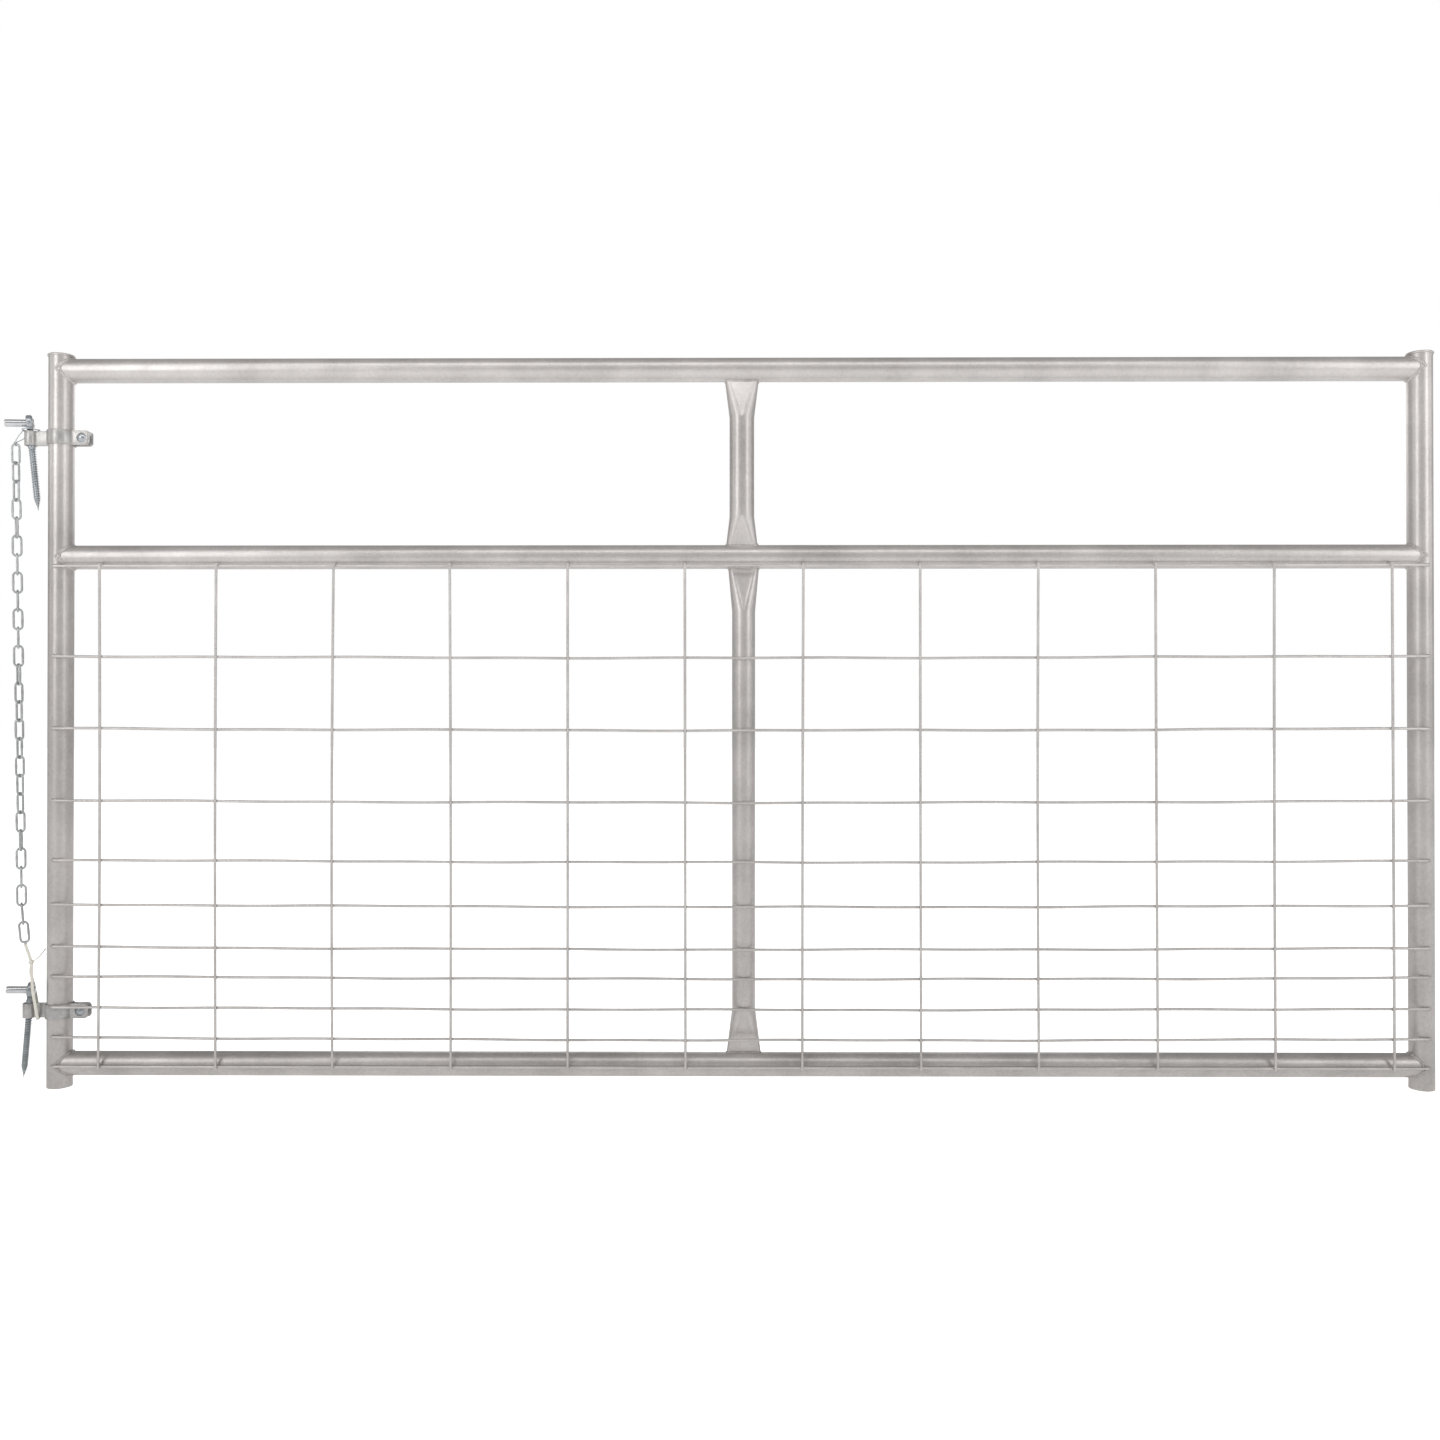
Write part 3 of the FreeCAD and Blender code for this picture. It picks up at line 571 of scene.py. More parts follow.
draw = random.Random(7)
shape = Shape()
for line_node in LINE_WIRES:
    for stay_node in STAY_WIRES:
        x = middle(stay_node).x
        on_line = wire_line(line_node, x)
        on_stay = stay_line(stay_node, on_line.z)
        spot = Vector((on_stay.x, (on_line.y + on_stay.y) / 2, on_line.z))
        shape.add(*nugget(spot, (draw.uniform(2.6, 3.4) * MM, 2.4 * MM, draw.uniform(2.6, 3.4) * MM), draw))
make_piece("wire_weld_nuggets", shape, WELD, "gate_frame", crisp=180)
print(len(LINE_WIRES) * len(STAY_WIRES), "nuggets")

# %% [markdown]
# The wires are tacked to the tubes. Each level wire has a short bead below it against both posts, a
# squashed blob at its cut end, and now and then a second bead above it. The top wire hangs a few
# millimetres under the middle rail, and blobs bridge the gap at every upright. The bottom wire is
# tacked to the bottom rail the same way.

# %% Tacks between the panel and the tubes
def tack(start, end, radius, draw, steps=9):
    """A short lumpy bead from one place to another, thin at its ends."""
    line = []
    for i in range(steps):
        line.append(start.lerp(end, i / (steps - 1)))
    wobble = [draw.uniform(0.82, 1.18) for _ in range(steps)]
    def size(t):
        return radius * wobble[round(t * (steps - 1))] * (0.35 + 0.65 * math.sin(math.pi * t))
    return swept(line, size, 10)


draw = random.Random(11)
shape = Shape()
for node in LINE_WIRES:
    for axis, inward in ((HINGE_AXIS.x, 1), (LATCH_AXIS.x, -1)):
        spot = wire_line(node, axis + inward * draw.uniform(1.0, 4.0) * MM)
        long = draw.uniform(5, 9) * MM
        below = Vector((0, 1.5 * MM, -draw.uniform(1.6, 2.6) * MM))
        shape.add(*tack(spot + below - ALONG * long / 2, spot + below + ALONG * long / 2, 2.0 * MM, draw))
        end = wire_line(node, axis - inward * draw.uniform(0.0, 1.5) * MM)
        end_size = (draw.uniform(3.2, 4.2) * MM, 2.6 * MM, draw.uniform(2.7, 3.3) * MM)
        shape.add(*nugget(end, end_size, draw, 7, 12))
        if draw.random() < 0.5:
            above = Vector((0, 1.4 * MM, 2.0 * MM))
            shape.add(*tack(spot + above - ALONG * long / 3, spot + above + ALONG * long / 3, 1.6 * MM, draw))
top_wire, bottom_wire = LINE_WIRES[-1], LINE_WIRES[0]
for node in STAY_WIRES:
    x = stay_line(node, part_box(node)[1][2]).x
    wire_top = wire_line(top_wire, x) + Vector((0, 1.0 * MM, 1.0 * MM))
    rail_spot = Vector((x, -TUBE_R * 0.80, RAIL_Z["middle_rail"] - TUBE_R * 0.60))
    shape.add(*tack(wire_top - ALONG * 3 * MM, rail_spot + ALONG * 2 * MM, 2.7 * MM, draw))
    shape.add(*tack(wire_top + ALONG * 3 * MM, rail_spot - ALONG * 2 * MM, 2.4 * MM, draw))
    low_spot = wire_line(bottom_wire, x) + Vector((0, 1.2 * MM, 2.2 * MM))
    long = draw.uniform(6, 10) * MM
    shape.add(*tack(low_spot - ALONG * long / 2, low_spot + ALONG * long / 2, 1.9 * MM, draw))
make_piece("panel_tacks", shape, WELD, "gate_frame", crisp=180)
print("tacks on", len(STAY_WIRES), "uprights and both posts")

# %% [markdown]
# Each rail is cut to fit the round of the post and welded all round. Two equal tubes meet in two
# flat curves, so from the front the joint reads as a V lying on its side. The bead is a rope of
# overlapping puddles: a bar whose radius rises and falls along the curve. A second, thinner bead
# stands off a little along the rail and rounds the V's point.

# %% Beads round the rail ends
def bead(line, radius, draw, ripples, sides=10, closed=False):
    phase = draw.uniform(0, 6.28)
    slow = draw.uniform(0, 6.28)
    def size(t):
        ripple = abs(math.sin(math.pi * ripples * t + phase))
        return radius * (0.80 + 0.24 * ripple + 0.16 * math.sin(9.0 * t + slow))
    return swept(line, size, sides, closed)


def saddle_curve(axis_x, inward, rail_z, side, stand_off=0.0):
    """Half of the joint curve between a post and a rail: side is 1 above the rail, -1 below it."""
    line = []
    steps = 72
    for i in range(steps + 1):
        t = math.pi * (i / steps - 0.5)
        out = TUBE_R * math.cos(t)
        line.append(Vector((axis_x + inward * math.hypot(out, stand_off), TUBE_R * math.sin(t),
                            rail_z + side * out)))
    return line


BEAD_R = 2.3 * MM
ROUND_APEX = 8.0 * MM
draw = random.Random(23)
shape = Shape()
TOP_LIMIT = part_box("hinge_post")[1][2]
for rail_z in RAIL_Z.values():
    for axis, inward in ((HINGE_AXIS.x, 1), (LATCH_AXIS.x, -1)):
        for side in (1, -1):
            curve = saddle_curve(axis, inward, rail_z, side)
            shape.add(*bead(curve, BEAD_R, draw, draw.randint(11, 15)))
            rounded = saddle_curve(axis, inward, rail_z, side, ROUND_APEX)
            shape.add(*bead(rounded, BEAD_R * 0.8, draw, draw.randint(9, 13)))
make_piece("rail_end_beads", shape, WELD, "gate_frame", crisp=180)
print(len(RAIL_Z) * 2, "welded rail ends")

# %% [markdown]
# The centre upright is two lengths of tube, each pressed at both ends before it is welded in. A
# press squeezes the round tube along a slanting line, so its flat grows from nothing to the full
# width and makes a V on the front and the back. The tube gets wider as it gets thinner, because
# the length round it stays the same. The flats are dished a little, which leaves a ridge along
# the V.

# %% Centre upright
def pressed_section(width, depth, dish, x, z):
    """The outline of a partly flattened tube, front flat first, going round."""
    half_flat, r = (width - depth) / 2, depth / 2
    points = []
    flat_steps, round_steps = 14, 16
    for face in (-1, 1):
        for i in range(flat_steps):
            u = 2 * i / flat_steps - 1
            inset = dish * (1 - u ** 4)
            points.append(Vector((x - face * half_flat * u, face * (r - inset), z)))
        for i in range(round_steps):
            a = math.pi * i / round_steps - math.pi / 2
            points.append(Vector((x - face * (half_flat + r * math.cos(a)), -face * r * math.sin(a), z)))
    return points


def pressed_tube(x, stations):
    """Rows of sections. Each station is height, width, depth and dish."""
    shape = Shape()
    columns = None
    for z1, w1, d1, s1 in stations:
        section = pressed_section(w1, d1, s1, x, z1)
        columns = len(section)
        shape.points.extend(section)
    shape.faces.extend(grid_faces(len(stations), columns))
    shape.faces.append(tuple(range(columns - 1, -1, -1)))
    last = (len(stations) - 1) * columns
    shape.faces.append(tuple(range(last, last + columns)))
    return shape


def brace_stations(low, high, body, foot, head, dish):
    """Sections from the foot up. foot and head are width, depth and the height of the V."""
    stations = []
    steps = 20
    for i in range(steps + 1):
        t = i / steps
        press = max(0.0, 1 - t)
        stations.append((low + foot[2] * t, foot[0] + (body[0] - foot[0]) * t,
                         foot[1] + (body[1] - foot[1]) * t, dish * min(1.0, press * 3.0)))
    for i in range(1, 7):
        stations.append((low + foot[2] + (high - head[2] - low - foot[2]) * i / 7, body[0], body[1], 0.0))
    for i in range(steps + 1):
        t = i / steps
        stations.append((high - head[2] + head[2] * t, body[0] + (head[0] - body[0]) * t,
                         body[1] + (head[1] - body[1]) * t, dish * min(1.0, t * 3.0)))
    return stations


def mm(*values):
    return tuple(v * MM for v in values)


BRACES = {
    "upper_brace": dict(rails=("middle_rail", "top_rail"), body=mm(43.0, 40.6), foot=mm(55.0, 16.0, 52.0),
                        head=mm(59.0, 14.0, 66.0)),
    "lower_brace": dict(rails=("bottom_rail", "middle_rail"), body=mm(39.8, 38.6), foot=mm(60.0, 5.0, 80.0),
                        head=mm(53.5, 14.6, 77.0)),
}
for node, size in BRACES.items():
    low_rail, high_rail = (RAIL_Z[r] for r in size["rails"])
    low = low_rail + TUBE_R - 2.5 * MM
    high = high_rail - TUBE_R + 2.5 * MM
    stations = brace_stations(low, high, size["body"], size["foot"], size["head"], 1.1 * MM)
    shape = pressed_tube(BRACE_X[node], stations)
    make_piece(node + "_pressed", shape, TUBE, "gate_frame", (node,), crisp=14)
print("two pressed uprights at x", [round(v, 3) for v in BRACE_X.values()])

# %% [markdown]
# The pressed ends are welded along the front and the back of the rail. The bead follows the line
# where the flat end meets the round rail.

# %% Beads at the upright's ends
draw = random.Random(31)
shape = Shape()
for node, size in BRACES.items():
    for rail, side, end in ((size["rails"][0], 1, size["foot"]), (size["rails"][1], -1, size["head"])):
        for face in (-1, 1):
            half = end[0] / 2 - 1.0 * MM
            y = face * end[1] / 2
            z = RAIL_Z[rail] + side * math.sqrt(TUBE_R ** 2 - y ** 2)
            line = [Vector((BRACE_X[node] - half + 2 * half * i / 40, y, z)) for i in range(41)]
            shape.add(*bead(line, 1.9 * MM, draw, draw.randint(9, 13)))
        for hand in (-1, 1):
            x = BRACE_X[node] + hand * (end[0] / 2 - 1.0 * MM)
            z = RAIL_Z[rail] + side * TUBE_R
            line = [Vector((x, end[1] * (i / 8 - 0.5), z)) for i in range(9)]
            shape.add(*bead(line, 1.8 * MM, draw, 3))
make_piece("upright_end_beads", shape, WELD, "gate_frame", crisp=180)
print("beads at four upright ends")

# %% [markdown]
# A post cap is a thin pressed dish with a rolled edge, turned from one profile. The plug that holds
# it inside the tube can't be seen and isn't drawn.

# %% Post caps
for node in ("hinge_post_cap", "latch_post_cap"):
    low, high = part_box(node)
    axis = middle(node)
    cap_r = (high[0] - low[0]) / 2
    seat = TOP_LIMIT
    rise = high[2] - seat
    brim = 0.3 * MM
    profile = [(cap_r - 1.5 * MM, -1.6 * MM), (cap_r - 0.5 * MM, -1.7 * MM),
               (cap_r, -1.1 * MM), (cap_r, brim)]
    for i in range(1, 6):
        a = math.pi / 2 * i / 5
        profile.append((cap_r - 1.6 * MM * (1 - math.cos(a)), brim + (rise * 0.55 - brim) * math.sin(a)))
    for i in range(1, 9):
        u = 1 - i / 8.5
        profile.append(((cap_r - 1.6 * MM) * u, rise * (0.55 + 0.45 * (1 - u * u))))
    shape = Shape().add(*turned(profile, 48, Matrix.Translation((axis.x, axis.y, seat))))
    make_piece(node + "_pressed", shape, TUBE, "gate_frame", (node,), crisp=50)
print("two post caps,", round(rise / MM, 1), "mm proud of the tube")

# %% [markdown]
# A hinge strap is one flat bar. It starts as the front flange, wraps half way round the post, runs
# to the hinge line as one ply of the neck, rolls round the hook's shank to make the eye, and comes
# back the same way. So it is drawn as a ribbon along that one line.

# %% Hinge straps
low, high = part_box("upper_hinge_strap")
STRAP_HIGH = high[2] - low[2]
EYE_R = -low[0]
STRAP_THICK = 2.7 * MM
SLIT = 0.4 * MM
FLANGE_GAP = 10.0 * MM
FLANGE_END = high[0]


def eased(path, passes):
    """Softens corners by averaging each point with its neighbours."""
    for _ in range(passes):
        path = [path[0]] + [(a + b * 2 + c) / 4 for a, b, c in zip(path, path[1:], path[2:])] + [path[-1]]
    return path


def strap_line():
    """The middle of the bar's thickness, seen from above."""
    wrap_r = TUBE_R + 0.05 * MM + STRAP_THICK / 2
    eye_r = EYE_R - STRAP_THICK / 2
    ply_y = (SLIT + STRAP_THICK) / 2
    flange_y = (FLANGE_GAP + STRAP_THICK) / 2
    centre = HINGE_AXIS.x
    wrap_start = math.asin(flange_y / wrap_r)
    wrap_end = math.pi - math.asin(ply_y / wrap_r)
    eye_start = math.asin(ply_y / eye_r)
    front = []
    flange_x = centre + wrap_r * math.cos(wrap_start)
    front += [Vector((FLANGE_END + (flange_x - FLANGE_END) * i / 20, -flange_y, 0)) for i in range(20)]
    front += [Vector((centre + wrap_r * math.cos(a), -wrap_r * math.sin(a), 0))
              for a in (wrap_start + (wrap_end - wrap_start) * i / 40 for i in range(40))]
    neck_x = centre + wrap_r * math.cos(wrap_end)
    eye_x = eye_r * math.cos(eye_start)
    front += [Vector((neck_x + (eye_x - neck_x) * i / 16, -ply_y, 0)) for i in range(16)]
    front += [Vector((eye_r * math.cos(a), -eye_r * math.sin(a), 0))
              for a in (eye_start + (math.pi - eye_start) * i / 20 for i in range(20))]
    front.append(Vector((-eye_r, 0, 0)))
    front = eased(front, 2)
    back = [Vector((p.x, -p.y, 0)) for p in reversed(front[:-1])]
    return front + back


def ribbon(line, thick, height, z, corner, edge=0.45 * MM):
    """A flat bar on edge along a level line, with rounded edges and clipped outer corners."""
    section = []
    half_t, half_h = thick / 2, height / 2
    for across, tall in ((1, 1), (-1, 1), (-1, -1), (1, -1)):
        for i in range(3):
            a = math.pi / 4 * i
            start = {(1, 1): 0, (-1, 1): 1, (-1, -1): 2, (1, -1): 3}[(across, tall)] * math.pi / 2
            section.append(((half_t - edge) * across + edge * math.cos(start + a),
                            (half_h - edge) * tall + edge * math.sin(start + a)))
    lengths = [0.0]
    for a, b in zip(line, line[1:]):
        lengths.append(lengths[-1] + (b - a).length)
    points = []
    for i, spot in enumerate(line):
        before, after = line[max(0, i - 1)], line[min(len(line) - 1, i + 1)]
        tangent = (after - before).normalized()
        out = Vector((tangent.y, -tangent.x, 0))
        from_end = min(lengths[i], lengths[-1] - lengths[i])
        trim = 0.0
        if from_end < corner:
            trim = corner - math.sqrt(max(0.0, corner ** 2 - (corner - from_end) ** 2))
        for across, tall in section:
            squeeze = 1 - trim / half_h
            points.append(spot + out * across + UP * (tall * squeeze + z))
    faces = grid_faces(len(line), len(section))
    faces.append(tuple(range(len(section) - 1, -1, -1)))
    faces.append(tuple(range((len(line) - 1) * len(section), len(line) * len(section))))
    return points, faces


def with_end_detail(line):
    """Adds points close to both ends, so that rounded corners come out round."""
    extra = [line[0].lerp(line[1], t) for t in (0.04, 0.12, 0.28, 0.5, 0.75)]
    other = [line[-1].lerp(line[-2], t) for t in (0.75, 0.5, 0.28, 0.12, 0.04)]
    return [line[0]] + extra + line[1:-1] + other + [line[-1]]


BAR_LINE = with_end_detail(strap_line())
for side in ("upper", "lower"):
    node = side + "_hinge_strap"
    shape = Shape().add(*ribbon(BAR_LINE, STRAP_THICK, STRAP_HIGH, EYE_Z[side], 6.0 * MM))
    make_piece(node + "_folded", shape, STRAP, "gate_frame", (node,), crisp=40)
print("two folded straps,", round(STRAP_HIGH / MM, 1), "mm high")

# %% [markdown]
# A lag hook starts as a round bar. One end is forged into a thick flat ring, and the other is cut
# with a coarse wood thread that runs out at a gimlet point. The thread is real geometry: a turned
# grid whose radius depends on the angle as well as the height, so the ridges climb in a helix.

# %% Lag hooks
SHANK_R = 6.2 * MM
NECK_R = 4.9 * MM
RING_R = 14.0 * MM
RING_THICK = 10.5 * MM
PIN_R = 6.35 * MM
THREAD_PITCH = 4.3 * MM
HOOK_TILT = {"upper": 6.0, "lower": -4.6}
HOOK_TURN = {"upper": 27.0, "lower": 20.0}
RING_UP = {"upper": 27.0 * MM, "lower": 35.0 * MM}


def smooth_step(t):
    t = min(1.0, max(0.0, t))
    return t * t * (3 - 2 * t)


def hook_place(side):
    """The hook's own axes, Z up the shank and X away from the pin, and its ring's height there."""
    tilt = Matrix.Rotation(math.radians(-HOOK_TILT[side]), 4, "Y")
    turn = Matrix.Rotation(math.radians(HOOK_TURN[side]), 4, "Z")
    return Matrix.Translation((0, 0, EYE_Z[side])) @ (tilt @ turn), RING_UP[side]


def threaded_shank(ring_z, place):
    top = ring_z - RING_R + 2.5 * MM
    tip_z = ring_z - 154.0 * MM
    point_top = tip_z + 24.0 * MM
    thread_top = top - 30.0 * MM
    rows, columns = 300, 28
    points = []
    for i in range(rows):
        z = top + (tip_z - top) * i / (rows - 1)
        if z > top - 9.0 * MM:
            core = NECK_R + (SHANK_R - NECK_R) * smooth_step((top - z) / (9.0 * MM))
        else:
            core = SHANK_R
        cut = smooth_step((thread_top - z) / (6.0 * MM))
        taper = smooth_step((z - tip_z) / (point_top - tip_z)) if z < point_top else 1.0
        for k in range(columns):
            a = 2 * math.pi * k / columns
            phase = (z / THREAD_PITCH - a / (2 * math.pi)) % 1.0
            ridge = max(0.0, 1 - abs(phase - 0.5) / 0.24)
            root = SHANK_R - 1.75 * MM
            r = core * (1 - cut) + (root + (SHANK_R - root) * ridge) * cut
            r = max(0.25 * MM, r * (0.08 + 0.92 * taper))
            points.append(place @ Vector((r * math.cos(a), r * math.sin(a), z)))
    faces = grid_faces(rows, columns)
    faces.append(tuple(range(columns - 1, -1, -1)))
    faces.append(tuple(range((rows - 1) * columns, rows * columns)))
    return points, faces


def forged_ring(ring_z, place):
    """A thick washer on edge, well rounded on its outside and chamfered round the pin."""
    half = RING_THICK / 2
    soft = 3.2 * MM
    section = [(PIN_R + 0.1 * MM, -half + 0.8 * MM), (PIN_R + 1.0 * MM, -half)]
    for i in range(7):
        a = -math.pi / 2 + math.pi / 2 * i / 6
        section.append((RING_R - soft + soft * math.cos(a), -half + soft + soft * math.sin(a)))
    for i in range(7):
        a = math.pi / 2 * i / 6
        section.append((RING_R - soft + soft * math.cos(a), half - soft + soft * math.sin(a)))
    section += [(PIN_R + 1.0 * MM, half), (PIN_R + 0.1 * MM, half - 0.8 * MM)]
    about = place @ Matrix.Translation((0, 0, ring_z)) @ Matrix.Rotation(math.pi / 2, 4, "Y")
    columns = 40
    points = []
    for r, h in section:
        for k in range(columns):
            a = 2 * math.pi * k / columns
            points.append(about @ Vector((r * math.cos(a), r * math.sin(a), h)))
    return points, grid_faces(len(section), columns, closed_rows=True)


for side in ("upper", "lower"):
    place, ring_z = hook_place(side)
    shape = Shape().add(*threaded_shank(ring_z, place)).add(*forged_ring(ring_z, place))
    make_piece(side + "_lag_hook_threaded", shape, HARDWARE, side + "_hook",
               (side + "_lag_hook",), crisp=32)
    about = place @ Matrix.Translation((0, 0, ring_z)) @ Matrix.Rotation(math.pi / 2, 4, "Y")
    reach, back = 38.5 * MM, RING_THICK / 2
    profile = [(0.3 * MM, -reach), (PIN_R - 1.8 * MM, -reach + 0.05 * MM),
               (PIN_R - 0.6 * MM, -reach + 0.5 * MM), (PIN_R, -reach + 1.9 * MM),
               (PIN_R, -back - 2.0 * MM), (PIN_R, back)]
    rivet_r = 8.5 * MM
    for i in range(7):
        a = math.pi / 2 * i / 6
        profile.append((max(0.3 * MM, rivet_r * math.cos(a)), back + 3.0 * MM * math.sin(a)))
    shape = Shape().add(*turned(profile, 32, about))
    make_piece(side + "_hook_pin_turned", shape, PIN, side + "_hook", (side + "_hook_pin",),
               crisp=32)
print("two lag hooks with", round(THREAD_PITCH / MM, 1), "mm thread pitch")

# %% [markdown]
# A chain link is bent from wire and butt welded in the middle of one side, where the weld leaves a
# slight swelling. Each link turns about a quarter turn from the last, and this chain also has a
# slow twist. The links are gathered into the five runs that the CAD model joins with pivots.

# %% Chain
LINK_WIRE_R = 1.8 * MM
LINK_BEND = 6.6 * MM
LINK_STRAIGHT = (32.4 - 16.8 + 7.2) * MM
LINK_PITCH = 32.1 * MM
CHAIN_TOP = Vector((-26.9 * MM, 0, 986.0 * MM))
CHAIN_LEAN = 0.93
LAST_LEANS = {26: 5.0, 27: 6.0}
FACING = -61.0
TWISTS = ((1, 58.0), (6, 0.0), (12, 0.0), (14, 38.0), (18, 28.0), (23, 90.0), (27, 90.0))
RUNS = ((1, 6), (7, 11), (12, 16), (17, 22), (23, 27))


def twist_of(number):
    for (link_1, turn_1), (link_2, turn_2) in zip(TWISTS, TWISTS[1:]):
        if link_1 <= number <= link_2:
            return turn_1 + (turn_2 - turn_1) * (number - link_1) / (link_2 - link_1)
    return TWISTS[-1][1]


def link_matrices():
    spot = CHAIN_TOP.copy()
    for number in range(1, RUNS[-1][1] + 1):
        lean = math.radians(LAST_LEANS.get(number, CHAIN_LEAN))
        tip = Matrix.Rotation(-lean, 4, "Y")
        down = tip @ Vector((0, 0, -1))
        turn = Matrix.Rotation(math.radians(FACING + 90 * number + twist_of(number) - 90), 4, "Z")
        yield number, Matrix.Translation(spot + down * (LINK_PITCH / 2)) @ tip @ turn
        spot = spot + down * LINK_PITCH


def link_mesh(place, weld_side):
    """One closed link in its own XZ plane."""
    outline = []
    for end in (1, -1):
        for i in range(13):
            a = math.pi * i / 12
            outline.append(Vector((end * LINK_BEND * math.cos(a), 0,
                                   end * (LINK_STRAIGHT / 2 + LINK_BEND * math.sin(a)))))
        for i in range(1, 8):
            outline.append(Vector((-end * LINK_BEND, 0, end * LINK_STRAIGHT * (0.5 - i / 8))))
    def size(t):
        index = round(t * (len(outline) - 1))
        spot = outline[index]
        on_weld = spot.x * weld_side > 0 and abs(spot.z) < LINK_STRAIGHT * 0.14
        return LINK_WIRE_R * (1.13 if on_weld else 1.0)
    return swept([place @ p for p in outline], size, 12, closed=True,
                 first_side=(place.to_3x3() @ ACROSS))


PLACES = dict(link_matrices())
for run, (first, last) in enumerate(RUNS, start=1):
    shape = Shape()
    for number in range(first, last + 1):
        shape.add(*link_mesh(PLACES[number], 1 if number % 3 else -1))
    make_piece(f"chain_run_{run}", shape, CHAIN, f"chain_{run}", (f"chain_section_{run}",),
               crisp=60)
print(RUNS[-1][1], "links in", len(RUNS), "runs")

# %% [markdown]
# A soft steel tie wire holds the chain to the upper hook: one and a half times round under the
# hook's ring, down through the first link and back up, with its free end left sticking out.

# %% Tie wire
TIE_R = 0.8 * MM
loop_z = EYE_Z["upper"] + STRAP_HIGH / 2 + TIE_R
loop_r = 13.6 * MM
turns = []
for i in range(0, 26):
    a = math.radians(190 - i * 22)
    turns.append(Vector((loop_r * math.cos(a) * (1 + 0.03 * math.sin(i)), loop_r * math.sin(a),
                         loop_z + i * 0.10 * MM)))
bow = PLACES[1] @ Vector((0, 0, LINK_STRAIGHT / 2 + LINK_BEND))
bow_way = (PLACES[1].to_3x3() @ ALONG).normalized()
through = bow_way.cross(UP).normalized()
hook_r = 3.4 * MM
under = []
for i in range(11):
    a = math.radians(70 - i * 32)
    under.append(bow + UP * (hook_r * math.sin(a)) + through * (hook_r * math.cos(a))
                 + bow_way * ((i - 5) * 0.12 * MM))
leg_down = [turns[0] + Vector((-1.2 * MM, 0, -2.0 * MM)),
            turns[0].lerp(under[0], 0.5) + Vector((-1.0 * MM, 0, 0))]
free_end = Vector((-0.014, 0.004, EYE_Z["upper"]))
leg_up = [under[-1].lerp(free_end, 0.5), free_end + UP * 0.0015]
tie_line = smooth_path(list(reversed(turns)) + leg_down + under + leg_up, 4)
shape = Shape().add(*swept(tie_line, TIE_R, 8))
make_piece("chain_tie_wire_wound", shape, HARDWARE, "gate_frame", ("chain_tie_wire",),
           crisp=60)
print("tie wire is", round(sum((b - a).length for a, b in zip(tie_line, tie_line[1:])), 3), "m long")

# %% [markdown]
# A cable tie is a thin nylon strip with a square head. The strip is drawn flat along a smooth line,
# with its width held in one direction, and fine teeth stand across the tail.

# %% Cable tie
STRIP_WIDE = 5.0 * MM
STRIP_THICK = 1.2 * MM


def strip(line, wide_way, wide, thick, teeth=None):
    """A flat strip with soft edges. teeth is the spacing of the ridges across it, or None."""
    points = []
    travelled = 0.0
    for i, spot in enumerate(line):
        before, after = line[max(0, i - 1)], line[min(len(line) - 1, i + 1)]
        tangent = (after - before).normalized()
        if i:
            travelled += (spot - line[i - 1]).length
        side = (wide_way - tangent * wide_way.dot(tangent)).normalized()
        face = tangent.cross(side)
        grow = 1.0
        if teeth:
            grow += 0.22 * (1 if (travelled / teeth) % 1 < 0.5 else 0)
        w, t = wide / 2, thick / 2
        e = t * 0.6
        for u, v in ((w, e), (w - e, t * grow), (-w + e, t * grow), (-w, e),
                     (-w, -e), (-w + e, -t), (w - e, -t), (w, -e)):
            points.append(spot + side * u + face * v)
    faces = grid_faces(len(line), 8)
    faces.append(tuple(range(7, -1, -1)))
    faces.append(tuple(range((len(line) - 1) * 8, len(line) * 8)))
    return points, faces


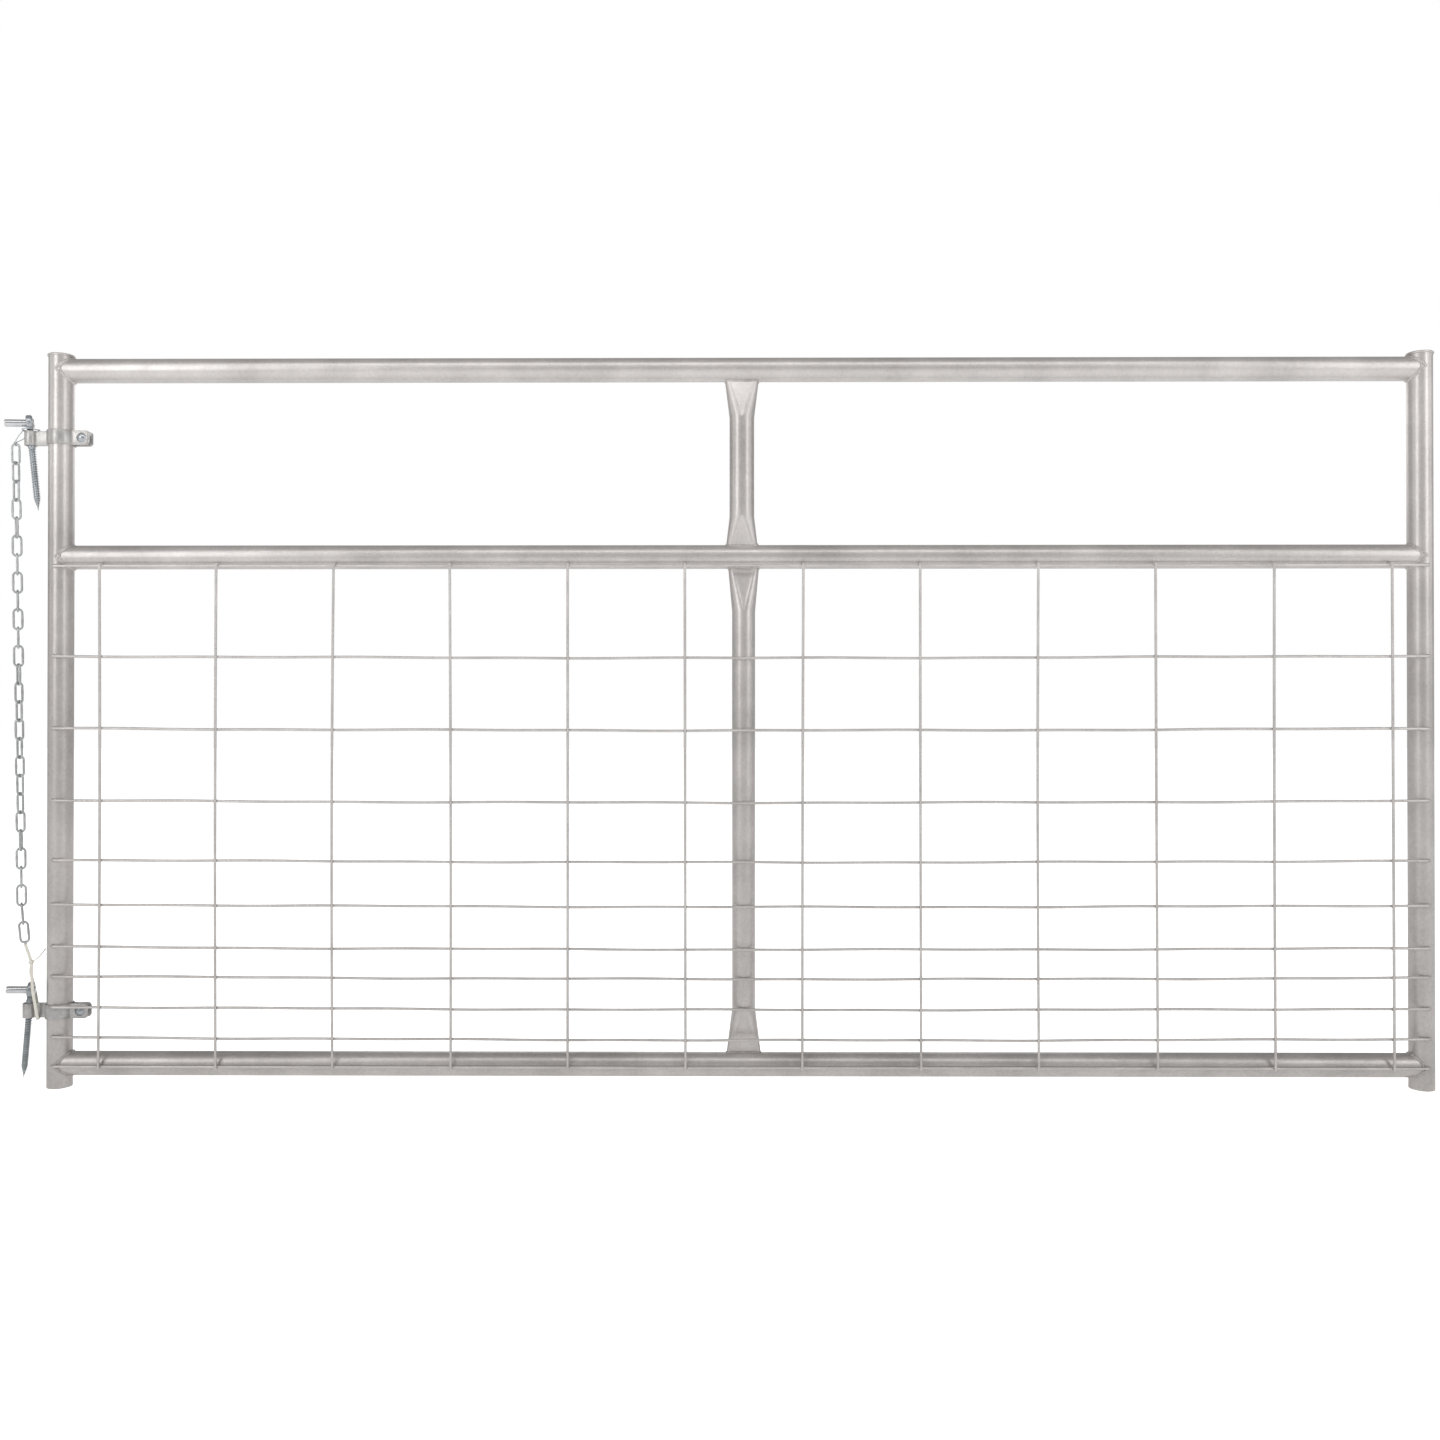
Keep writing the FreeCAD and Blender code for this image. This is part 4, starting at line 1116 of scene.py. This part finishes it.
def soft_block(centre, size, place_turn, edge=0.6 * MM):
    """A box with rounded edges, made of four stacked outlines."""
    points = []
    half = [s / 2 for s in size]
    for z, inset in ((-half[2], edge), (-half[2] + edge, 0), (half[2] - edge, 0), (half[2], edge)):
        hx, hy = half[0] - inset, half[1] - inset
        for sx, sy in ((1, 1), (-1, 1), (-1, -1), (1, -1)):
            corners = [(hx - edge * 0.3, hy), (hx, hy - edge * 0.3)]
            if sx * sy > 0:
                corners.reverse()
            for cx, cy in corners:
                points.append(centre + place_turn @ Vector((sx * cx, sy * cy, z)))
    faces = grid_faces(4, 8)
    faces.append(tuple(range(7, -1, -1)))
    faces.append(tuple(range(24, 32)))
    return points, faces


WIDE_WAY = Vector((0.93, 0.05, 0.36)).normalized()
loop_points = [Vector(p) * MM for p in (
    (-10.2, 5.0, 119.6), (-7.8, 2.3, 112.0), (-1.4, -1.4, 100.0), (5.8, -5.2, 84.0), (11.4, -12.8, 60.0),
    (15.8, -17.2, 35.0), (17.6, -12.6, 10.0), (17.8, -6.0, -13.2), (15.5, 0.0, -15.6), (13.0, 5.8, -13.2),
    (7.5, 12.5, 6.0), (-1.0, 17.6, 35.0), (-2.1, 9.0, 62.0), (5.2, -2.2, 82.0))]
tail_points = [Vector(p) * MM for p in ((5.6, -4.8, 83.5), (11.0, -4.3, 86.5), (18.0, -3.4, 92.6),
                                        (24.5, -2.6, 100.5), (29.4, -2.0, 107.2))]
shape = Shape()
shape.add(*strip(smooth_path(loop_points, 8), WIDE_WAY, STRIP_WIDE, STRIP_THICK))
shape.add(*strip(smooth_path(tail_points, 14), ACROSS, STRIP_WIDE * 0.8, STRIP_THICK * 0.8, 1.1 * MM))
head_turn = Matrix.Rotation(math.radians(-28), 3, "Y")
shape.add(*soft_block(Vector((5.8, -4.6, 84.2)) * MM, mm(7.0, 5.6, 5.6), head_turn))
make_piece("cable_tie_nylon", shape, NYLON, "gate_frame", ("cable_tie",), crisp=40)
print("cable tie with", len(loop_points), "route points")
